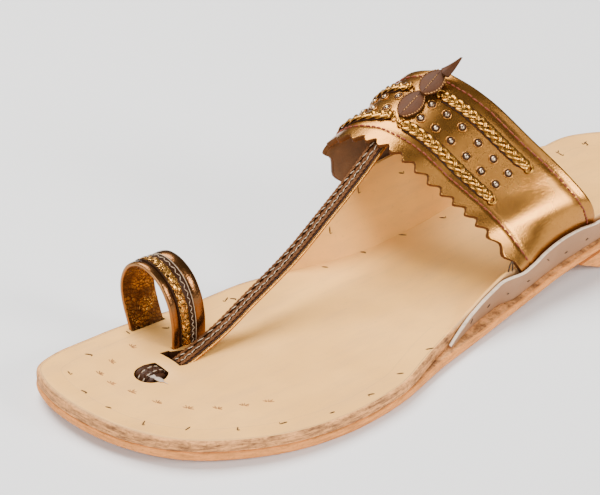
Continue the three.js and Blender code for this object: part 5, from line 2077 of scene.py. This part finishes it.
def build_sole_threads():
    """Bits of dark stitching thread in the foot bed and round its margin."""
    work = bmesh.new()
    chance = random.Random(19)
    right, up, _ = camera_axes()
    thick = sizes().sole_thread
    for column, row, slant in THREADS_SEEN:
        spot, normal = bed_point_seen(column, row)
        turned = math.radians(slant)
        heading = right * math.cos(turned) - up * math.sin(turned)
        add_thread_bit(work, spot, normal, heading, chance, thick)
    for side, first, last in MARGIN_THREADS:
        count = round((last - first) * LENGTH / MARGIN_PITCH)
        for i in range(count):
            share = blend(first, last, (i + 0.5) / count)
            if wing_rise(side, share) > 0:
                continue
            inside = STACK * side.seat(share)
            point = side_point(side, share, MARGIN_INSET, insole_top(share), inside)
            angle = chance.uniform(0.2, 0.9)
            heading = Vector((math.cos(angle), math.sin(angle), 0))
            add_thread_bit(work, laid_on_bed(point, UPWARD), UPWARD, heading, chance, thick)
    return finished(work, "sole_threads", [sole_thread()])


def build_ear_threads():
    """Small dark stitches through the ears."""
    work = bmesh.new()
    chance = random.Random(23)
    thick = sizes().sole_thread
    for side in (LATERAL, MEDIAL):
        first = side.ear_table[0][0] + EAR_MARGIN
        last = side.ear_table[-1][0] - EAR_MARGIN
        for i in range(EAR_STITCHES):
            share = blend(first, last, (i + 0.5) / EAR_STITCHES)
            height = side.ear(share) * side.ear_height
            up = chance.uniform(0.25, 0.7)
            offset = ear_gap(side, share) + EAR_THICKNESS * SPREAD
            ends = []
            for shift in (-EAR_STITCH_REACH, EAR_STITCH_REACH):
                place = share + shift * chance.uniform(0.3, 1) / LENGTH
                z = insole_foot(share) + height * up + shift * chance.uniform(-1, 1)
                ends.append(Vector((forward(place),
                                    side.sign * (wing_face(side, place, z) + offset), z)))
            add_stitch(work, *ends, Vector((0, side.sign, -WING_LEAN)), thick * BIT_THICK, 0.1)
    return finished(work, "ear_threads", [sole_thread()])


def build_thread_loop():
    """A loose loop of thread at the band's front corner, by the lateral ear."""
    share = BAND[2][2] + 0.012
    base = wing_face(LATERAL, share, insole_top(share)) + 0.001
    floor = insole_foot(share) + LATERAL.ear(share) * LATERAL_EAR_HEIGHT - 0.0008
    points = []
    for i in range(LOOSE_STOPS + 1):
        angle = math.pi * (i / LOOSE_STOPS)
        points.append(Vector((forward(share) + LOOSE_LOOP.x * math.cos(angle),
                              base + LOOSE_LOOP.y * math.sin(angle),
                              floor + LOOSE_LOOP.z * math.sin(angle))))
    work = tube(points, [Vector((0, 1, 0))] * len(points), LOOSE_THREAD, LOOSE_THREAD)
    return finished(work, "thread_loop", [sole_thread()])


# Stage

FLOOR_HALF = 3
WARM = (1.0, 0.985, 0.965)
COOL = (0.985, 0.99, 1.0)
SKY = (0.86, 0.87, 0.88, 1)
SKY_STRENGTH = 0.12
LAMPS = [
    # name, from, aimed at, size, power, colour
    ("key", (0.22, -0.56, 1.3), (0.1, 0, 0), 1.1, 45, WARM),
    ("side", (-0.2, 1.05, 0.52), (0.05, 0, 0.03), 0.4, 11.5, WARM),
    ("crown", (-0.1, 0.77, 0.98), (0.06, 0, 0.04), 0.2, 0.4, WARM),
    ("front", (1.3, 0.9, 0.9), (0.1, 0, 0.02), 0.9, 23, COOL),
]


def build_stage():
    """The floor, the lamps and the sky."""
    floor = bmesh.new()
    bmesh.ops.create_grid(floor, x_segments=8, y_segments=8, size=FLOOR_HALF)
    ground = new_object("studio_floor", new_mesh("studio_floor", floor, [studio_floor()]))
    ground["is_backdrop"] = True
    for name, place, aim, size, power, tint in LAMPS:
        data = bpy.data.lights.new(name, "AREA")
        data.shape = "DISK"
        data.size = size
        data.energy = power
        data.color = tint
        lamp = new_object(name, data)
        lamp.location = place
        lamp.rotation_euler = (Vector(aim) - Vector(place)).to_track_quat("-Z", "Y").to_euler()
    world = bpy.data.worlds.new("studio")
    world.use_nodes = True
    sky = world.node_tree.nodes["Background"].inputs
    sky["Color"].default_value = SKY
    sky["Strength"].default_value = SKY_STRENGTH
    bpy.context.scene.world = world


def build_camera():
    data = bpy.data.cameras.new("camera")
    data.sensor_fit = "HORIZONTAL"
    data.sensor_width = SENSOR_WIDTH
    data.lens = FOCAL_PIXELS / PICTURE[0] * SENSOR_WIDTH
    data.clip_start = 0.01
    camera = new_object("camera", data)
    turned = Matrix(camera_axes()).transposed().to_4x4()
    camera.matrix_world = Matrix.Translation(CAMERA_AT) @ turned
    bpy.context.scene.camera = camera


# Operators, each for one piece or one group of like pieces

class SANDAL_OT_stage(bpy.types.Operator):
    """Sets the pale floor, the soft lights and the camera"""

    bl_idname = "sandal.stage"
    bl_label = "Studio and camera"

    def execute(self, context):
        build_stage()
        build_camera()
        return {"FINISHED"}


class SANDAL_OT_sole(bpy.types.Operator):
    """Builds the outsole and the heel lift"""

    bl_idname = "sandal.sole"
    bl_label = "Outsole and heel lift"

    def execute(self, context):
        build_outsole()
        build_heel_lift()
        return {"FINISHED"}


class SANDAL_OT_insole(bpy.types.Operator):
    """Builds the insole with its wings and toe openings"""

    bl_idname = "sandal.insole"
    bl_label = "Insole"

    def execute(self, context):
        build_insole()
        return {"FINISHED"}


class SANDAL_OT_ears(bpy.types.Operator):
    """Builds the two ears beside the band's ends"""

    bl_idname = "sandal.ears"
    bl_label = "Ears"

    def execute(self, context):
        build_ear(LATERAL, "ear_lateral")
        build_ear(MEDIAL, "ear_medial")
        return {"FINISHED"}


class SANDAL_OT_band(bpy.types.Operator):
    """Builds the instep band with its pinked edge and its seams"""

    bl_idname = "sandal.band"
    bl_label = "Instep band"

    def execute(self, context):
        build_band()
        build_band_seams()
        return {"FINISHED"}


class SANDAL_OT_braids(bpy.types.Operator):
    """Plaits the four braids on the band"""

    bl_idname = "sandal.braids"
    bl_label = "Braids"

    def execute(self, context):
        for name, start, end in BRAIDS:
            build_braid(name, start, end)
        return {"FINISHED"}


class SANDAL_OT_studs(bpy.types.Operator):
    """Sets the rows of studs between the braids"""

    bl_idname = "sandal.studs"
    bl_label = "Studs"

    def execute(self, context):
        build_studs()
        return {"FINISHED"}


class SANDAL_OT_leaves(bpy.types.Operator):
    """Lays the leaves on the crest of the band"""

    bl_idname = "sandal.leaves"
    bl_label = "Leaves"

    def execute(self, context):
        for leaf in LEAVES:
            build_leaf(*leaf)
        build_leaf_rims()
        return {"FINISHED"}


class SANDAL_OT_strap(bpy.types.Operator):
    """Builds the plaited strap from the toe slit to the band"""

    bl_idname = "sandal.strap"
    bl_label = "Strap"

    def execute(self, context):
        build_strap()
        return {"FINISHED"}


class SANDAL_OT_ring(bpy.types.Operator):
    """Builds the toe ring with its plaits and lining"""

    bl_idname = "sandal.ring"
    bl_label = "Toe ring"

    def execute(self, context):
        build_ring()
        return {"FINISHED"}


class SANDAL_OT_toe_fittings(bpy.types.Operator):
    """Builds the strap's loop and the peg at the toe hole"""

    bl_idname = "sandal.toe_fittings"
    bl_label = "Loop and peg"

    def execute(self, context):
        build_loop()
        build_peg()
        return {"FINISHED"}


class SANDAL_OT_marks(bpy.types.Operator):
    """Adds the punch marks and the stitching threads"""

    bl_idname = "sandal.marks"
    bl_label = "Marks and threads"

    def execute(self, context):
        build_star_marks()
        build_sole_threads()
        build_ear_threads()
        build_thread_loop()
        return {"FINISHED"}


OPERATORS = (
    SANDAL_OT_stage, SANDAL_OT_sole, SANDAL_OT_insole, SANDAL_OT_ears, SANDAL_OT_band,
    SANDAL_OT_braids,
    SANDAL_OT_studs, SANDAL_OT_leaves, SANDAL_OT_strap, SANDAL_OT_ring, SANDAL_OT_toe_fittings,
    SANDAL_OT_marks,
)


class SANDAL_PT_pieces(bpy.types.Panel):
    """Lists the sandal's pieces, its sizes and its colours"""

    bl_label = "Sandal"
    bl_idname = "SANDAL_PT_pieces"
    bl_space_type = "VIEW_3D"
    bl_region_type = "UI"
    bl_category = "Sandal"

    def draw(self, context):
        layout = self.layout
        for group in (context.scene.sandal_sizes, context.scene.sandal_colours):
            for name in group.__annotations__:
                layout.prop(group, name)
        for operator in OPERATORS:
            layout.operator(operator.bl_idname)


CLASSES = (SandalSizes, SandalColours, *OPERATORS, SANDAL_PT_pieces)


def register():
    for made in CLASSES:
        bpy.utils.register_class(made)
    bpy.types.Scene.sandal_sizes = PointerProperty(type=SandalSizes)
    bpy.types.Scene.sandal_colours = PointerProperty(type=SandalColours)


def unregister():
    del bpy.types.Scene.sandal_colours
    del bpy.types.Scene.sandal_sizes
    for made in reversed(CLASSES):
        bpy.utils.unregister_class(made)


def write_sizes():
    """Gathers the solids' box and the dressed sandal's box; the table is not kept."""
    corners = {"cad": CAD_BOX, "visual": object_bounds()}
    {name: [list(low), list(high)] for name, (low, high) in corners.items()}


def main():
    register()
    for operator in OPERATORS:
        family, name = operator.bl_idname.split(".")
        getattr(getattr(bpy.ops, family), name)()
    write_sizes()


if __name__ == "__main__":
    main()
